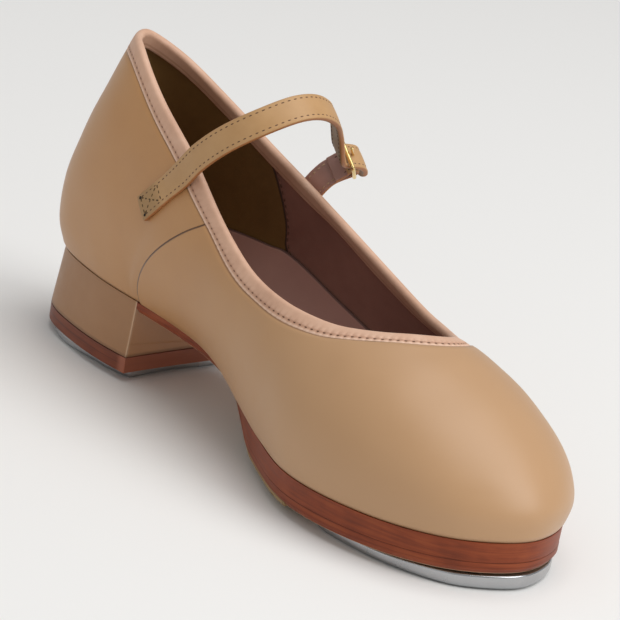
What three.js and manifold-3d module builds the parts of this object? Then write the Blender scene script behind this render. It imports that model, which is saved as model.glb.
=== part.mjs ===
// Left tap shoe: leather upper with a bound collar, instep strap and buckle,
// stacked forepart sole, covered heel, rubber pad, and screwed toe and heel taps.
// Millimetres. X runs from the heel to the toe, Y to the outer side, Z up.
import * as THREE from "three";
import { mergeVertices } from "three/addons/utils/BufferGeometryUtils.js";
import Module from "manifold-3d";

const wasm = await Module();
wasm.setup();

// Main sizes
const soleLength = 240;
const ballWidth = 84.7;
const collarHeight = 106.7; // ground to the leather edge at the back of the heel
const seatHeight = 30.6; // ground to the bottom edge of the upper at the back
const toeSpring = 2.7; // rise of the sole at the tip of the toe
const clearance = 0.3; // between neighbouring pieces

// Upper
const wall = 1.9;
const featherInset = 0.8; // the upper stands this far inside the sole edge
const lap = 0.5; // step of the vamp over the quarter
const bindingWidth = 5.6;
const bindingThickness = 0.7;
const edgeSkive = 0.6; // the wall is pared this much outside, under the binding
const liningSkive = 0.3; // and this much inside

// Soles
const platformThickness = 6.3;
const outsoleThickness = 3.4;
const soleChamfer = 1.5;
const insoleThickness = 2.4;
const insoleInset = 3.3;
const padThickness = 2.1;
const padProud = 0.7; // the rubber pad stands below the outsole by this much

// Heel
const heelLiftThickness = 5.3;
const heelFlareBack = 2.6;
const heelFlareSide = 0.6;
const breastHollowTop = 3.2;
const breastHollowBottom = 0.8;

// Taps and their screws
const tapThickness = 3;
const tapEdgeRadius = 1.3;
const screwHeadRadius = 3.1;
const screwHeadHeight = 1.9;
const screwShankRadius = 1.5;
const screwLength = 6;
const screwSunk = 0.2; // the head lies this far inside the face of the tap
const crossLength = 3.6;
const crossWidth = 0.9;
const crossDepth = 1.2;

// Strap and buckle
const strapWidth = 9.2;
const strapThickness = 1.8;
const strapCorner = 0.45;
const loopThickness = 1.2;
const loopEnd = 4.2; // length of the short strap behind the loop
const wireRadius = 0.8;
const buckleHalfWidth = 6; // middle of the wire
const buckleReach = 9.5;
const buckleCorner = 1.2;
const prongRadius = 0.6;

// Mesh fineness
const columnsPerRow = 3;
const bodyRows = 9;
const liningRows = 4;

const halfBall = ballWidth / 2;
const foreTop = tapThickness + outsoleThickness + platformThickness + 3 * clearance;

const lerp = THREE.MathUtils.lerp;
const clamp = THREE.MathUtils.clamp;
const vec = (x, y, z) => new THREE.Vector3(x, y, z);

function named(columns, rows) {
  return rows.map((row) => Object.fromEntries(columns.map((name, k) => [name, row[k]])));
}

// Height of the bottom edge of the upper along the shoe, as shares of the sole length,
// of the drop from the seat to the forepart, and of the toe spring
const bedRows = named(["x", "rise", "spring"], [
  [0.0, 1.0, 0.0],
  [0.13, 0.945, 0.0],
  [0.26, 0.885, 0.0],
  [0.42, 0.43, 0.0],
  [0.583, 0.05, 0.0],
  [0.71, 0.0, 0.0],
  [0.854, 0.0, 0.28],
  [1.0, 0.0, 1.0],
]);

// Smooth curve through the rows of a table, with each slope held between its neighbours'
function through(rows, key, x) {
  const last = rows.length - 1;
  const at = clamp(x, rows[0].x, rows[last].x);
  let k = 0;
  while (k < last - 1 && at > rows[k + 1].x) k += 1;
  const rate = (j) => (rows[j + 1][key] - rows[j][key]) / (rows[j + 1].x - rows[j].x);
  const slope = (j) => {
    if (j === 0) return rate(0);
    if (j === last) return rate(last - 1);
    const before = rate(j - 1);
    const after = rate(j);
    return before * after <= 0 ? 0 : (2 * before * after) / (before + after);
  };
  const span = rows[k + 1].x - rows[k].x;
  const t = (at - rows[k].x) / span;
  const rise = rows[k + 1][key] - rows[k][key];
  const bend = 3 * rise - span * (2 * slope(k) + slope(k + 1));
  const twist = span * (slope(k) + slope(k + 1)) - 2 * rise;
  return rows[k][key] + t * (span * slope(k) + t * (bend + t * twist));
}

const springAt = (x) => toeSpring * through(bedRows, "spring", x / soleLength);
const bedHeight = (x) =>
  foreTop + (seatHeight - foreTop) * through(bedRows, "rise", x / soleLength) + springAt(x);

// The platform fills the forepart between the upper and the outsole and dies out at the waist
const platformRows = named(["x", "full"], [
  [0.38, 0.0],
  [0.44, 0.2],
  [0.51, 0.66],
  [0.59, 1.0],
  [0.75, 1.0],
]);
const platformDrop = (x) =>
  (platformThickness + clearance) * through(platformRows, "full", x / soleLength);
const platformRear = 0.43; // share of the sole length where the platform begins
const outsoleTop = (x) => bedHeight(x) - clearance - platformDrop(x);
const outsoleBottom = (x) => outsoleTop(x) - outsoleThickness;

// A closed outline: x is a share of the sole length, y of half the ball width.
// A mark k is the place of row k, and marks between the rows lie between them.
class Outline {
  constructor(rows) {
    this.count = rows.length;
    const points = rows.map((row) => vec(row.x * soleLength, row.y * halfBall, 0));
    this.curve = new THREE.CatmullRomCurve3(points, true, "centripetal");
  }
  share(mark) {
    return THREE.MathUtils.euclideanModulo(mark / this.count, 1);
  }
  normal(mark) {
    const along = this.curve.getTangent(this.share(mark));
    return vec(along.y, -along.x, 0).normalize();
  }
  at(mark, inset = 0) {
    return this.curve.getPoint(this.share(mark)).addScaledVector(this.normal(mark), -inset);
  }
  markAt(x, from, to) {
    let low = from;
    let high = to;
    const rising = this.at(to).x > this.at(from).x;
    for (let step = 0; step < 40; step += 1) {
      const middle = (low + high) / 2;
      if (this.at(middle).x < x === rising) low = middle;
      else high = middle;
    }
    return (low + high) / 2;
  }
}

// Edge of the sole, from the back of the heel along the inner side to the toe and back
const sole = new Outline(named(["x", "y"], [
  [0.0, 0.02],
  [0.041, -0.41],
  [0.15, -0.58],
  [0.265, -0.575],
  [0.423, -0.37],
  [0.578, -0.74],
  [0.71, -0.994],
  [0.86, -0.907],
  [0.96, -0.6],
  [1.0, -0.13],
  [0.971, 0.333],
  [0.889, 0.69],
  [0.774, 0.959],
  [0.648, 1.006],
  [0.502, 0.831],
  [0.376, 0.72],
  [0.25, 0.665],
  [0.145, 0.68],
  [0.035, 0.49],
]));
const toeMark = 9;
const innerMarkAt = (x) => sole.markAt(x, 0, toeMark);
const outerMarkAt = (x) => sole.markAt(x, sole.count, toeMark);

const toeTapOutline = new Outline(named(["x", "y"], [
  [0.997, -0.1],
  [0.984, -0.35],
  [0.957, -0.57],
  [0.92, -0.705],
  [0.87, -0.81],
  [0.809, -0.868],
  [0.762, -0.868],
  [0.736, -0.8],
  [0.722, -0.62],
  [0.715, -0.35],
  [0.717, 0.05],
  [0.729, 0.44],
  [0.747, 0.7],
  [0.764, 0.8],
  [0.785, 0.83],
  [0.826, 0.785],
  [0.884, 0.665],
  [0.943, 0.455],
  [0.981, 0.2],
]));

const heelTapOutline = new Outline(named(["x", "y"], [
  [0.011, 0.02],
  [0.034, -0.33],
  [0.07, -0.48],
  [0.115, -0.55],
  [0.17, -0.545],
  [0.221, -0.53],
  [0.247, -0.48],
  [0.251, -0.37],
  [0.242, -0.16],
  [0.24, 0.05],
  [0.241, 0.25],
  [0.243, 0.43],
  [0.232, 0.57],
  [0.2, 0.62],
  [0.149, 0.61],
  [0.105, 0.575],
  [0.066, 0.49],
  [0.033, 0.34],
]));

// Screw places as shares of the sole length and of half the ball width
const toeScrews = named(["x", "y"], [
  [0.942, -0.085],
  [0.762, -0.66],
  [0.789, 0.628],
]);
const heelScrews = named(["x", "y"], [
  [0.203, -0.32],
  [0.198, 0.41],
  [0.064, 0.02],
]);

// Geometry from points and triangles, turned so that its faces look outwards
function geometryFrom(points, index) {
  let volume = 0;
  for (let k = 0; k < index.length; k += 3) {
    const [a, b, c] = [points[index[k]], points[index[k + 1]], points[index[k + 2]]];
    volume += a.dot(b.clone().cross(c));
  }
  const outward = volume > 0 ? index : index.slice().reverse();
  const geometry = new THREE.BufferGeometry();
  geometry.setAttribute("position", new THREE.Float32BufferAttribute(
    points.flatMap((point) => [point.x, point.y, point.z]), 3));
  geometry.setIndex(outward);
  return geometry;
}

// Skin over rings of equal count: joined end to end when closed, else with flat ends
function loft(rings, closed) {
  const count = rings[0].length;
  const points = rings.flat();
  const index = [];
  const quad = (a, b, c, d) => index.push(a, b, c, a, c, d);
  const strips = closed ? rings.length : rings.length - 1;
  for (let r = 0; r < strips; r += 1) {
    const here = r * count;
    const next = ((r + 1) % rings.length) * count;
    for (let k = 0; k < count; k += 1) {
      const other = (k + 1) % count;
      quad(here + k, here + other, next + other, next + k);
    }
  }
  if (!closed) {
    const end = (rings.length - 1) * count;
    for (let k = 1; k < count - 1; k += 1) {
      index.push(0, k + 1, k);
      index.push(end, end + k, end + k + 1);
    }
  }
  return geometryFrom(points, index);
}

// A plan with four sides: inner, outer, rear and front, each a function of share and inset
function planOf(sides) {
  return (s, v, inset) => {
    const blend = (a, b, t) => a.clone().lerp(b, t);
    const inner = (t) => sides.inner(t, inset);
    const outer = (t) => sides.outer(t, inset);
    const across = blend(inner(s), outer(s), v);
    const along = blend(sides.rear(v, inset), sides.front(v, inset), s);
    const flat = blend(blend(inner(0), outer(0), v), blend(inner(1), outer(1), v), s);
    return across.add(along).sub(flat);
  };
}

const slice = (outline, from, to) => (t, inset) => outline.at(lerp(from, to, t), inset);

// The same piece of edge, run the short way round the outline
function shortSlice(outline, from, to) {
  const turns = Math.round((to - from) / outline.count);
  return slice(outline, from, to - turns * outline.count);
}

function planFromOutline(outline, marks) {
  return planOf({
    inner: slice(outline, marks.innerRear, marks.innerFront),
    outer: slice(outline, marks.outerRear, marks.outerFront),
    rear: shortSlice(outline, marks.innerRear, marks.outerRear),
    front: shortSlice(outline, marks.innerFront, marks.outerFront),
  });
}

// A plate of stacked layers over one plan. Each layer has an inset and a height at x.
function plate(plan, layers, along = 30, across = 4) {
  const points = [];
  const index = [];
  const place = (layer, i, a) => {
    const point = plan(i / along, a / across, layer.inset);
    point.z = layer.height(point.x, point.y);
    points.push(point);
    return points.length - 1;
  };
  const grid = (layer) =>
    Array.from({ length: along + 1 }, (_, i) =>
      Array.from({ length: across + 1 }, (__, a) => place(layer, i, a)));
  const rim = [];
  for (let i = 0; i < along; i += 1) rim.push([i, 0]);
  for (let a = 0; a < across; a += 1) rim.push([along, a]);
  for (let i = along; i > 0; i -= 1) rim.push([i, across]);
  for (let a = across; a > 0; a -= 1) rim.push([0, a]);

  const top = grid(layers[0]);
  const bottom = grid(layers[layers.length - 1]);
  for (let i = 0; i < along; i += 1) {
    for (let a = 0; a < across; a += 1) {
      index.push(top[i][a], top[i + 1][a], top[i + 1][a + 1]);
      index.push(top[i][a], top[i + 1][a + 1], top[i][a + 1]);
      index.push(bottom[i][a], bottom[i + 1][a + 1], bottom[i + 1][a]);
      index.push(bottom[i][a], bottom[i][a + 1], bottom[i + 1][a + 1]);
    }
  }
  const loops = layers.map((layer, n) => {
    if (n === 0) return rim.map(([i, a]) => top[i][a]);
    if (n === layers.length - 1) return rim.map(([i, a]) => bottom[i][a]);
    return rim.map(([i, a]) => place(layer, i, a));
  });
  for (let n = 0; n < loops.length - 1; n += 1) {
    for (let k = 0; k < rim.length; k += 1) {
      const other = (k + 1) % rim.length;
      index.push(loops[n][k], loops[n + 1][k], loops[n + 1][other]);
      index.push(loops[n][k], loops[n + 1][other], loops[n][other]);
    }
  }
  return geometryFrom(points, index);
}

function toSolid(geometry) {
  const bare = geometry.clone();
  bare.deleteAttribute("normal");
  bare.deleteAttribute("uv");
  const merged = mergeVertices(bare, 1e-4);
  return new wasm.Manifold(new wasm.Mesh({
    numProp: 3,
    vertProperties: new Float32Array(merged.attributes.position.array),
    triVerts: new Uint32Array(merged.index.array),
  }));
}

function toGeometry(solid) {
  const mesh = solid.getMesh();
  const geometry = new THREE.BufferGeometry();
  geometry.setAttribute("position", new THREE.BufferAttribute(mesh.vertProperties, 3));
  geometry.setIndex(new THREE.BufferAttribute(mesh.triVerts, 1));
  return geometry;
}

const cut = (body, tools) =>
  toGeometry(tools.reduce((solid, tool) => solid.subtract(toSolid(tool)), toSolid(body)));

function turned(profile, sides, place, tilt = 0) {
  const points = profile.map(([radius, height]) => new THREE.Vector2(radius, height));
  const geometry = new THREE.LatheGeometry(points, sides);
  geometry.rotateX(Math.PI / 2);
  geometry.rotateY(tilt);
  return geometry.translate(place.x, place.y, place.z);
}

// The skin of the upper. Each row is one line up the shoe, from its foot on the sole edge
// to the collar. foot and topX are shares of the sole length, topY of half the ball width,
// topZ of the collar height. swell and lid push the line outwards near its foot and its top,
// as shares of the ball width. rise and drop are how far along its height they act, and
// lean and sweep carry it forwards there, as shares of the sole length.
const lineColumns = [
  "foot", "topX", "topY", "topZ", "swell", "rise", "lean", "lid", "drop", "sweep",
];
const backLine = [0.0, 0.075, 0.0, 1.0, 0.12, 0.2, 0.0, 0.155, 0.42, 0.0];
const innerLines = [
  [0.033, 0.094, -0.225, 1.006, 0.11, 0.21, 0.0, 0.14, 0.42, 0.0],
  [0.105, 0.146, -0.4, 0.994, 0.08, 0.25, 0.0, 0.105, 0.38, 0.0],
  [0.18, 0.225, -0.482, 0.887, 0.08, 0.3, 0.0, 0.07, 0.3, 0.0],
  [0.238, 0.321, -0.545, 0.779, 0.08, 0.35, 0.0, 0.07, 0.28, -0.02],
  [0.27, 0.42, -0.62, 0.65, 0.1, 0.36, -0.004, 0.07, 0.22, -0.075],
  [0.417, 0.508, -0.673, 0.566, 0.21, 0.17, 0.0, 0.08, 0.25, -0.02],
  [0.579, 0.588, -0.682, 0.535, 0.1, 0.24, 0.0, 0.09, 0.22, 0.0],
  [0.729, 0.658, -0.59, 0.528, 0.06, 0.42, 0.0, 0.11, 0.16, 0.0],
  [0.858, 0.708, -0.425, 0.54, 0.06, 0.42, 0.0, 0.18, 0.12, 0.0],
  [0.954, 0.743, -0.22, 0.552, 0.07, 0.41, 0.0, 0.25, 0.12, 0.0],
];
const toeLine = [1.0, 0.757, 0.0, 0.548, 0.094, 0.42, 0.0, 0.31, 0.13, 0.0];
const outerLines = [
  [0.958, 0.743, 0.2, 0.528, 0.105, 0.42, 0.0, 0.23, 0.16, 0.0],
  [0.871, 0.71, 0.39, 0.497, 0.095, 0.43, 0.0, 0.13, 0.18, 0.0],
  [0.746, 0.665, 0.545, 0.478, 0.06, 0.42, 0.0, 0.09, 0.2, 0.0],
  [0.6, 0.6, 0.652, 0.48, 0.06, 0.4, 0.0, 0.09, 0.22, 0.0],
  [0.433, 0.512, 0.685, 0.532, 0.07, 0.39, 0.0, 0.08, 0.25, -0.02],
  [0.281, 0.418, 0.65, 0.61, 0.08, 0.44, -0.004, 0.07, 0.22, -0.075],
  [0.233, 0.342, 0.595, 0.68, 0.08, 0.35, 0.0, 0.07, 0.28, -0.02],
  [0.175, 0.258, 0.538, 0.753, 0.08, 0.3, 0.0, 0.07, 0.3, 0.0],
  [0.1, 0.175, 0.468, 0.833, 0.08, 0.25, 0.0, 0.1, 0.36, 0.0],
  [0.031, 0.106, 0.283, 0.93, 0.11, 0.21, 0.0, 0.13, 0.4, 0.0],
];
const lines = named(lineColumns, [backLine, ...innerLines, toeLine, ...outerLines]);
const innerSeam = 5; // row of the side seam on the inner side
const outerSeam = lines.length - 5; // and on the outer side
lines.forEach((line, k) => {
  const x = line.foot * soleLength;
  const toe = innerLines.length + 1;
  if (k === 0) line.mark = 0;
  else if (k < toe) line.mark = innerMarkAt(x);
  else if (k === toe) line.mark = toeMark;
  else line.mark = outerMarkAt(x);
});

// Smooth value of one column of the table at any place between its rows
function lineValue(key, place) {
  const count = lines.length;
  const k = Math.floor(place);
  const t = place - k;
  const value = (j) => {
    const turns = Math.floor(j / count);
    const wrap = key === "mark" ? turns * sole.count : 0;
    return lines[j - turns * count][key] + wrap;
  };
  const [a, b, c, d] = [value(k - 1), value(k), value(k + 1), value(k + 2)];
  return b + 0.5 * t * (c - a + t * (2 * a - 5 * b + 4 * c - d + t * (3 * (b - c) + d - a)));
}

const samplesPerLine = 48;
const lineCache = new Map();
function lineAt(place) {
  const key = place.toFixed(5);
  if (lineCache.has(key)) return lineCache.get(key);
  const value = (name) => lineValue(name, place);
  const mark = value("mark");
  const out = sole.normal(mark);
  const foot = sole.at(mark, featherInset);
  foot.z = bedHeight(foot.x);
  const top = vec(value("topX") * soleLength, value("topY") * halfBall,
    value("topZ") * collarHeight);
  const height = top.z - foot.z;
  const low = foot.clone().addScaledVector(out, value("swell") * ballWidth)
    .add(vec(value("lean") * soleLength, 0, value("rise") * height));
  const high = top.clone().addScaledVector(out, value("lid") * ballWidth)
    .add(vec(value("sweep") * soleLength, 0, -value("drop") * height));
  const curve = new THREE.CubicBezierCurve3(foot, low, high, top);
  curve.arcLengthDivisions = samplesPerLine;
  const line = { curve, length: curve.getLength() };
  lineCache.set(key, line);
  return line;
}

// Point of the skin at a place along the rows and a distance below the collar edge
function skinPoint(place, below) {
  const { curve, length } = lineAt(place);
  const share = clamp(1 - below / length, 0, 1);
  const point = curve.getPointAt(share);
  const beyond = (1 - below / length - share) * length;
  if (Math.abs(beyond) > 1e-9) point.addScaledVector(curve.getTangentAt(share), beyond);
  return point;
}

function skinNormal(place, below) {
  const along = skinPoint(place + 0.04, below).sub(skinPoint(place - 0.04, below));
  const up = skinPoint(place, below - 0.6).sub(skinPoint(place, below + 0.6));
  return along.cross(up).normalize();
}

const offSkin = (place, below, out) =>
  skinPoint(place, below).addScaledVector(skinNormal(place, below), out);

// Place on the skin of a side that has the given x and z
function onSide(outerSide, x, z) {
  const toe = innerLines.length + 1;
  const [from, to] = outerSide ? [toe, lines.length] : [0, toe];
  let best = { miss: Infinity };
  const look = (places, depths) => {
    for (const place of places) {
      for (const below of depths) {
        const point = skinPoint(place, below);
        const miss = Math.hypot(point.x - x, point.z - z);
        if (miss < best.miss) best = { miss, place, below };
      }
    }
  };
  const range = (a, b, n) => Array.from({ length: n + 1 }, (_, k) => lerp(a, b, k / n));
  look(range(from, to, 44), range(0, 70, 35));
  for (let step = 1; step > 0.01; step /= 3) {
    const { place, below } = best;
    look(range(place - 0.3 * step, place + 0.3 * step, 8), range(below - 2 * step,
      below + 2 * step, 8));
  }
  return best;
}

function sectionPlaces() {
  const places = [];
  for (let k = 0; k < lines.length * columnsPerRow; k += 1) {
    const place = k / columnsPerRow;
    const quarter = place <= innerSeam || place >= outerSeam;
    if (place === outerSeam) places.push({ place: place - 0.03, quarter: false });
    places.push({ place, quarter });
    if (place === innerSeam) places.push({ place: place + 0.03, quarter: false });
  }
  return places;
}

function makeUpper() {
  const rings = sectionPlaces().map(({ place, quarter }) => {
    const { length } = lineAt(place);
    const ring = [];
    const bodyTop = bindingWidth + clearance;
    for (let k = 0; k <= bodyRows; k += 1) {
      const below = lerp(length, bodyTop, k / bodyRows);
      ring.push(offSkin(place, below, quarter ? -lap : 0));
    }
    for (const below of [bindingWidth, bindingWidth / 2, 0]) {
      ring.push(offSkin(place, below, -edgeSkive));
    }
    for (const below of [0, bindingWidth / 2, bindingWidth]) {
      ring.push(offSkin(place, below, liningSkive - wall));
    }
    for (let k = 0; k <= liningRows; k += 1) {
      const below = lerp(bodyTop, length, k / liningRows);
      ring.push(offSkin(place, below, -wall));
    }
    return ring;
  });
  return loft(rings, true);
}

// The binding is a folded strip: down the outside, over the edge and down the lining
function makeBinding() {
  const outFace = -edgeSkive + clearance;
  const inFace = liningSkive - wall - clearance;
  const middle = (outFace + inFace) / 2;
  const crown = clearance + bindingThickness;
  const outSkin = outFace + bindingThickness;
  const inSkin = inFace - bindingThickness;
  const section = [
    [bindingWidth, outFace],
    [bindingWidth * 0.93, outSkin],
    [bindingWidth * 0.3, outSkin],
    [-crown * 0.6, lerp(outSkin, middle, 0.35)],
    [-crown, middle],
    [-crown * 0.6, lerp(inSkin, middle, 0.35)],
    [bindingWidth * 0.3, inSkin],
    [bindingWidth * 0.93, inSkin],
    [bindingWidth, inFace],
    [-clearance, inFace],
    [-clearance, outFace],
  ];
  const rings = [];
  for (let k = 0; k < lines.length * columnsPerRow; k += 1) {
    const place = k / columnsPerRow;
    rings.push(section.map(([below, out]) => offSkin(place, below, out)));
  }
  return loft(rings, true);
}

// Plans of the soles and the heel
const heelEnds = { innerRear: 0.6, outerRear: sole.count - 0.6 };
const toeEnds = { innerFront: toeMark - 0.4, outerFront: toeMark + 0.4 };
const breastX = 0.262 * soleLength;
const innerBreast = innerMarkAt(breastX);
const outerBreast = outerMarkAt(breastX - 2.5);

// Line between two points, bowed to the back by the hollow
const bowed = (a, b, v, hollow) => a.clone().lerp(b, v).add(vec(-hollow * 4 * v * (1 - v), 0, 0));

// The same across the shoe, between two marks of the sole edge
const crossLine = (innerMark, outerMark, hollow = 0, shift = 0) => (v, inset) =>
  bowed(sole.at(innerMark, inset), sole.at(outerMark, inset), v, hollow).add(vec(shift, 0, 0));

function outsolePlan(gap) {
  return planOf({
    inner: slice(sole, innerBreast, toeEnds.innerFront),
    outer: slice(sole, outerBreast, toeEnds.outerFront),
    rear: crossLine(innerBreast, outerBreast, breastHollowTop * 0.85, gap),
    front: slice(sole, toeEnds.innerFront, toeEnds.outerFront),
  });
}

function makeInsole() {
  const plan = planFromOutline(sole, { ...heelEnds, ...toeEnds });
  const layer = (inset, up) => ({ inset: insoleInset + inset, height: (x) => bedHeight(x) + up });
  return plate(plan, [
    layer(0.5, insoleThickness),
    layer(0, insoleThickness * 0.7),
    layer(0, 0),
  ], 24, 4);
}

function makePlatform() {
  const rear = platformRear * soleLength;
  const innerRear = innerMarkAt(rear);
  const outerRear = outerMarkAt(rear);
  const plan = planOf({
    inner: slice(sole, innerRear, toeEnds.innerFront),
    outer: slice(sole, outerRear, toeEnds.outerFront),
    rear: crossLine(innerRear, outerRear),
    front: slice(sole, toeEnds.innerFront, toeEnds.outerFront),
  });
  return plate(plan, [
    { inset: 0, height: (x) => bedHeight(x) - clearance },
    { inset: 0.2, height: (x) => outsoleTop(x) + clearance },
  ], 20, 3);
}

const padRear = 0.458 * soleLength;
const padFrontInner = 0.708 * soleLength;
const padFrontOuter = 0.742 * soleLength;
const padFrontBow = 5;

// Front edge of the pad: a slanted line across the shoe, bowed to the back
function padFront(y) {
  const share = y / halfBall;
  return lerp(padFrontInner, padFrontOuter, (share + 1) / 2) - padFrontBow * (1 - share * share);
}

// Everything between the two ends of the pad, wider than the sole
function padBlock(spread, above, below) {
  const plan = (s, v) => {
    const y = lerp(-ballWidth, ballWidth, v);
    return vec(lerp(padRear - spread, padFront(y) + spread, s), y, 0);
  };
  const layer = (up) => ({ inset: 0, height: (x) => outsoleBottom(x) + up });
  return plate(plan, [layer(above), layer(-below)], 16, 12);
}

function makePad() {
  const above = padThickness - padProud;
  const slab = plate(outsolePlan(0), [
    { inset: 0.9, height: (x) => outsoleBottom(x) + above },
    { inset: 0.9, height: outsoleBottom },
    { inset: 1.3, height: (x) => outsoleBottom(x) - padProud },
  ], 26, 4);
  return toGeometry(toSolid(slab).intersect(toSolid(padBlock(0, ballWidth, ballWidth))));
}

// The outsole is pocketed for the pad, across its whole width, and bored for the tap screws
function makeOutsole() {
  const body = plate(outsolePlan(clearance), [
    { inset: 0.2, height: outsoleTop },
    { inset: 0.4, height: (x) => outsoleBottom(x) + soleChamfer },
    { inset: 0.4 + soleChamfer * 0.7, height: outsoleBottom },
  ], 30, 4);
  const pocket = padBlock(clearance, padThickness - padProud + clearance, outsoleThickness);
  return cut(body, [pocket, ...screwPlaces(toeScrews).map(shankHole)]);
}

// Heel: a D in plan that flares towards the ground, with a hollow front. The share runs
// from 0 at the seat to 1 at the ground.
function heelEdge(mark, share) {
  const back = Math.max(0, -sole.normal(mark).x);
  const flare = lerp(heelFlareSide, heelFlareBack, back * back);
  return sole.at(mark, featherInset * (1 - share) - flare * share);
}

const heelPlan = planOf({
  inner: (t, share) => heelEdge(lerp(heelEnds.innerRear, innerBreast, t), share)
    .add(vec(-clearance * t, 0, 0)),
  outer: (t, share) => heelEdge(lerp(heelEnds.outerRear, outerBreast, t), share)
    .add(vec(-clearance * t, 0, 0)),
  rear: (t, share) =>
    heelEdge(lerp(heelEnds.innerRear, heelEnds.outerRear - sole.count, t), share),
  front: (t, share) => bowed(heelEdge(innerBreast, share), heelEdge(outerBreast, share), t,
    lerp(breastHollowTop, breastHollowBottom, share)).add(vec(-clearance, 0, 0)),
});

const liftTop = tapThickness + clearance + heelLiftThickness;

function makeHeelBlock() {
  const layer = (share) => ({
    inset: share,
    height: (x) => lerp(bedHeight(x) - clearance, liftTop + clearance, share),
  });
  return plate(heelPlan, [layer(0), layer(0.35), layer(0.7), layer(1)], 10, 6);
}

function makeHeelLift() {
  const layers = [
    { inset: 1, height: () => liftTop },
    { inset: 1, height: () => tapThickness + clearance },
  ];
  return cut(plate(heelPlan, layers, 10, 6), screwPlaces(heelScrews).map(shankHole));
}

// Taps: rounded edges, a flat face on the ground, and a countersunk hole for each screw
function tapPlate(outline, marks, rise) {
  const plan = planFromOutline(outline, marks);
  const soft = tapEdgeRadius;
  const layer = (inset, up) => ({
    inset,
    height: (x) => up + rise(x) * lerp(tapBend, tapFill, up / tapThickness),
  });
  return plate(plan, [
    layer(soft * 0.25, tapThickness),
    layer(0, tapThickness - soft * 0.3),
    layer(0, soft),
    layer(soft * 0.3, soft * 0.3),
    layer(soft, 0),
  ], 12, 4);
}

const tapFlat = 0.8 * soleLength; // the tap is flat from its rear edge to here
const tapBend = 0.2; // beyond, its underside follows this share of the toe spring
const tapFill = 0.9; // and its top this share
const tapRise = (x) => Math.max(0, springAt(x) - springAt(tapFlat));

function makeToeTap() {
  const marks = { innerRear: 7.4, innerFront: 1, outerRear: 13.4, outerFront: 18 };
  const body = tapPlate(toeTapOutline, marks, tapRise);
  return cut(body, screwPlaces(toeScrews).map(headHole));
}

function makeHeelTap() {
  const marks = { innerRear: 1.3, innerFront: 6.4, outerRear: 16.7, outerFront: 11.6 };
  const body = tapPlate(heelTapOutline, marks, () => 0);
  return cut(body, screwPlaces(heelScrews).map(headHole));
}

const screwPlaces = (rows) =>
  rows.map((row) => {
    const x = row.x * soleLength;
    return vec(x, row.y * halfBall, tapBend * tapRise(x));
  });

function screwProfile(grow) {
  const head = screwHeadRadius + grow;
  const shank = screwShankRadius + grow;
  const top = screwLength + grow;
  return [
    [0, screwSunk],
    [head, screwSunk],
    [head, screwSunk + 0.4],
    [shank, screwSunk + screwHeadHeight + grow],
    [shank, top - 1],
    [shank * 0.4, top],
    [0, top],
  ];
}

// Room round a screw: its own outline grown by the clearance and open at the face
function headHole(place) {
  const grown = screwProfile(clearance);
  const mouth = [[0, -2], [screwHeadRadius + clearance, -2]];
  return turned([...mouth, ...grown.slice(2)], 12, place);
}
const shankHole = (place) => {
  const radius = screwShankRadius + clearance;
  return turned([[0, -2], [radius, -2], [radius, screwLength + clearance],
    [0, screwLength + clearance]], 8, place);
};

function makeScrew(place) {
  const bar = (w, l) => {
    const box = new THREE.BoxGeometry(w, l, 2 * crossDepth);
    return box.translate(place.x, place.y, place.z + screwSunk);
  };
  const body = turned(screwProfile(0), 12, place);
  return cut(body, [bar(crossWidth, crossLength), bar(crossLength, crossWidth)]);
}

// A flat strip along a path. Each stop has a point, a direction across the strip and a
// width share.
function strip(stops, width, thickness, steps) {
  const curve = new THREE.CatmullRomCurve3(stops.map((stop) => stop.point), false,
    "centripetal");
  const rings = [];
  for (let k = 0; k <= steps; k += 1) {
    const t = k / steps;
    const spot = Math.min(t * (stops.length - 1), stops.length - 1 - 1e-9);
    const j = Math.floor(spot);
    const blend = spot - j;
    const along = curve.getTangent(t);
    const across = stops[j].across.clone().lerp(stops[j + 1].across, blend);
    across.addScaledVector(along, -across.dot(along)).normalize();
    const face = along.clone().cross(across).normalize();
    const half = 0.5 * width * lerp(stops[j].share ?? 1, stops[j + 1].share ?? 1, blend);
    const deep = thickness / 2;
    const c = Math.min(strapCorner, deep * 0.6);
    const corners = [
      [half, deep - c], [half - c, deep], [c - half, deep], [-half, deep - c],
      [-half, c - deep], [c - half, -deep], [half - c, -deep], [half, c - deep],
    ];
    const centre = curve.getPoint(t);
    rings.push(corners.map(([a, b]) =>
      centre.clone().addScaledVector(across, a).addScaledVector(face, b)));
  }
  return loft(rings, false);
}

// A round rod along points; closed makes a ring of it
function rod(points, radius, sides, closed, steps) {
  const curve = new THREE.CatmullRomCurve3(points, closed, "centripetal");
  const rings = [];
  const count = closed ? steps : steps + 1;
  for (let k = 0; k < count; k += 1) {
    const t = k / steps;
    const along = curve.getTangent(t);
    const side = buckle.out.clone().addScaledVector(along, -buckle.out.dot(along)).normalize();
    const other = along.clone().cross(side);
    rings.push(Array.from({ length: sides }, (_, j) => {
      const angle = (2 * Math.PI * j) / sides;
      return curve.getPoint(t).addScaledVector(side, radius * Math.cos(angle))
        .addScaledVector(other, radius * Math.sin(angle));
    }));
  }
  return loft(rings, closed);
}

// Buckle frame of reference: across its bars, up the strap, and out from the foot
const inShoe = (x, y, z) => vec(x * soleLength, y * halfBall, z * collarHeight);
const buckle = { hinge: inShoe(0.363, 0.833, 0.763), across: vec(0.74, 0, -0.67).normalize() };
buckle.up = vec(0.5, -0.66, 0.55);
buckle.up.addScaledVector(buckle.across, -buckle.up.dot(buckle.across)).normalize();
buckle.out = buckle.up.clone().cross(buckle.across).normalize();
if (buckle.out.y < 0) buckle.out.negate();
const atBuckle = (across, up, out) =>
  buckle.hinge.clone().addScaledVector(buckle.across, across)
    .addScaledVector(buckle.up, up).addScaledVector(buckle.out, out);

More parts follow.
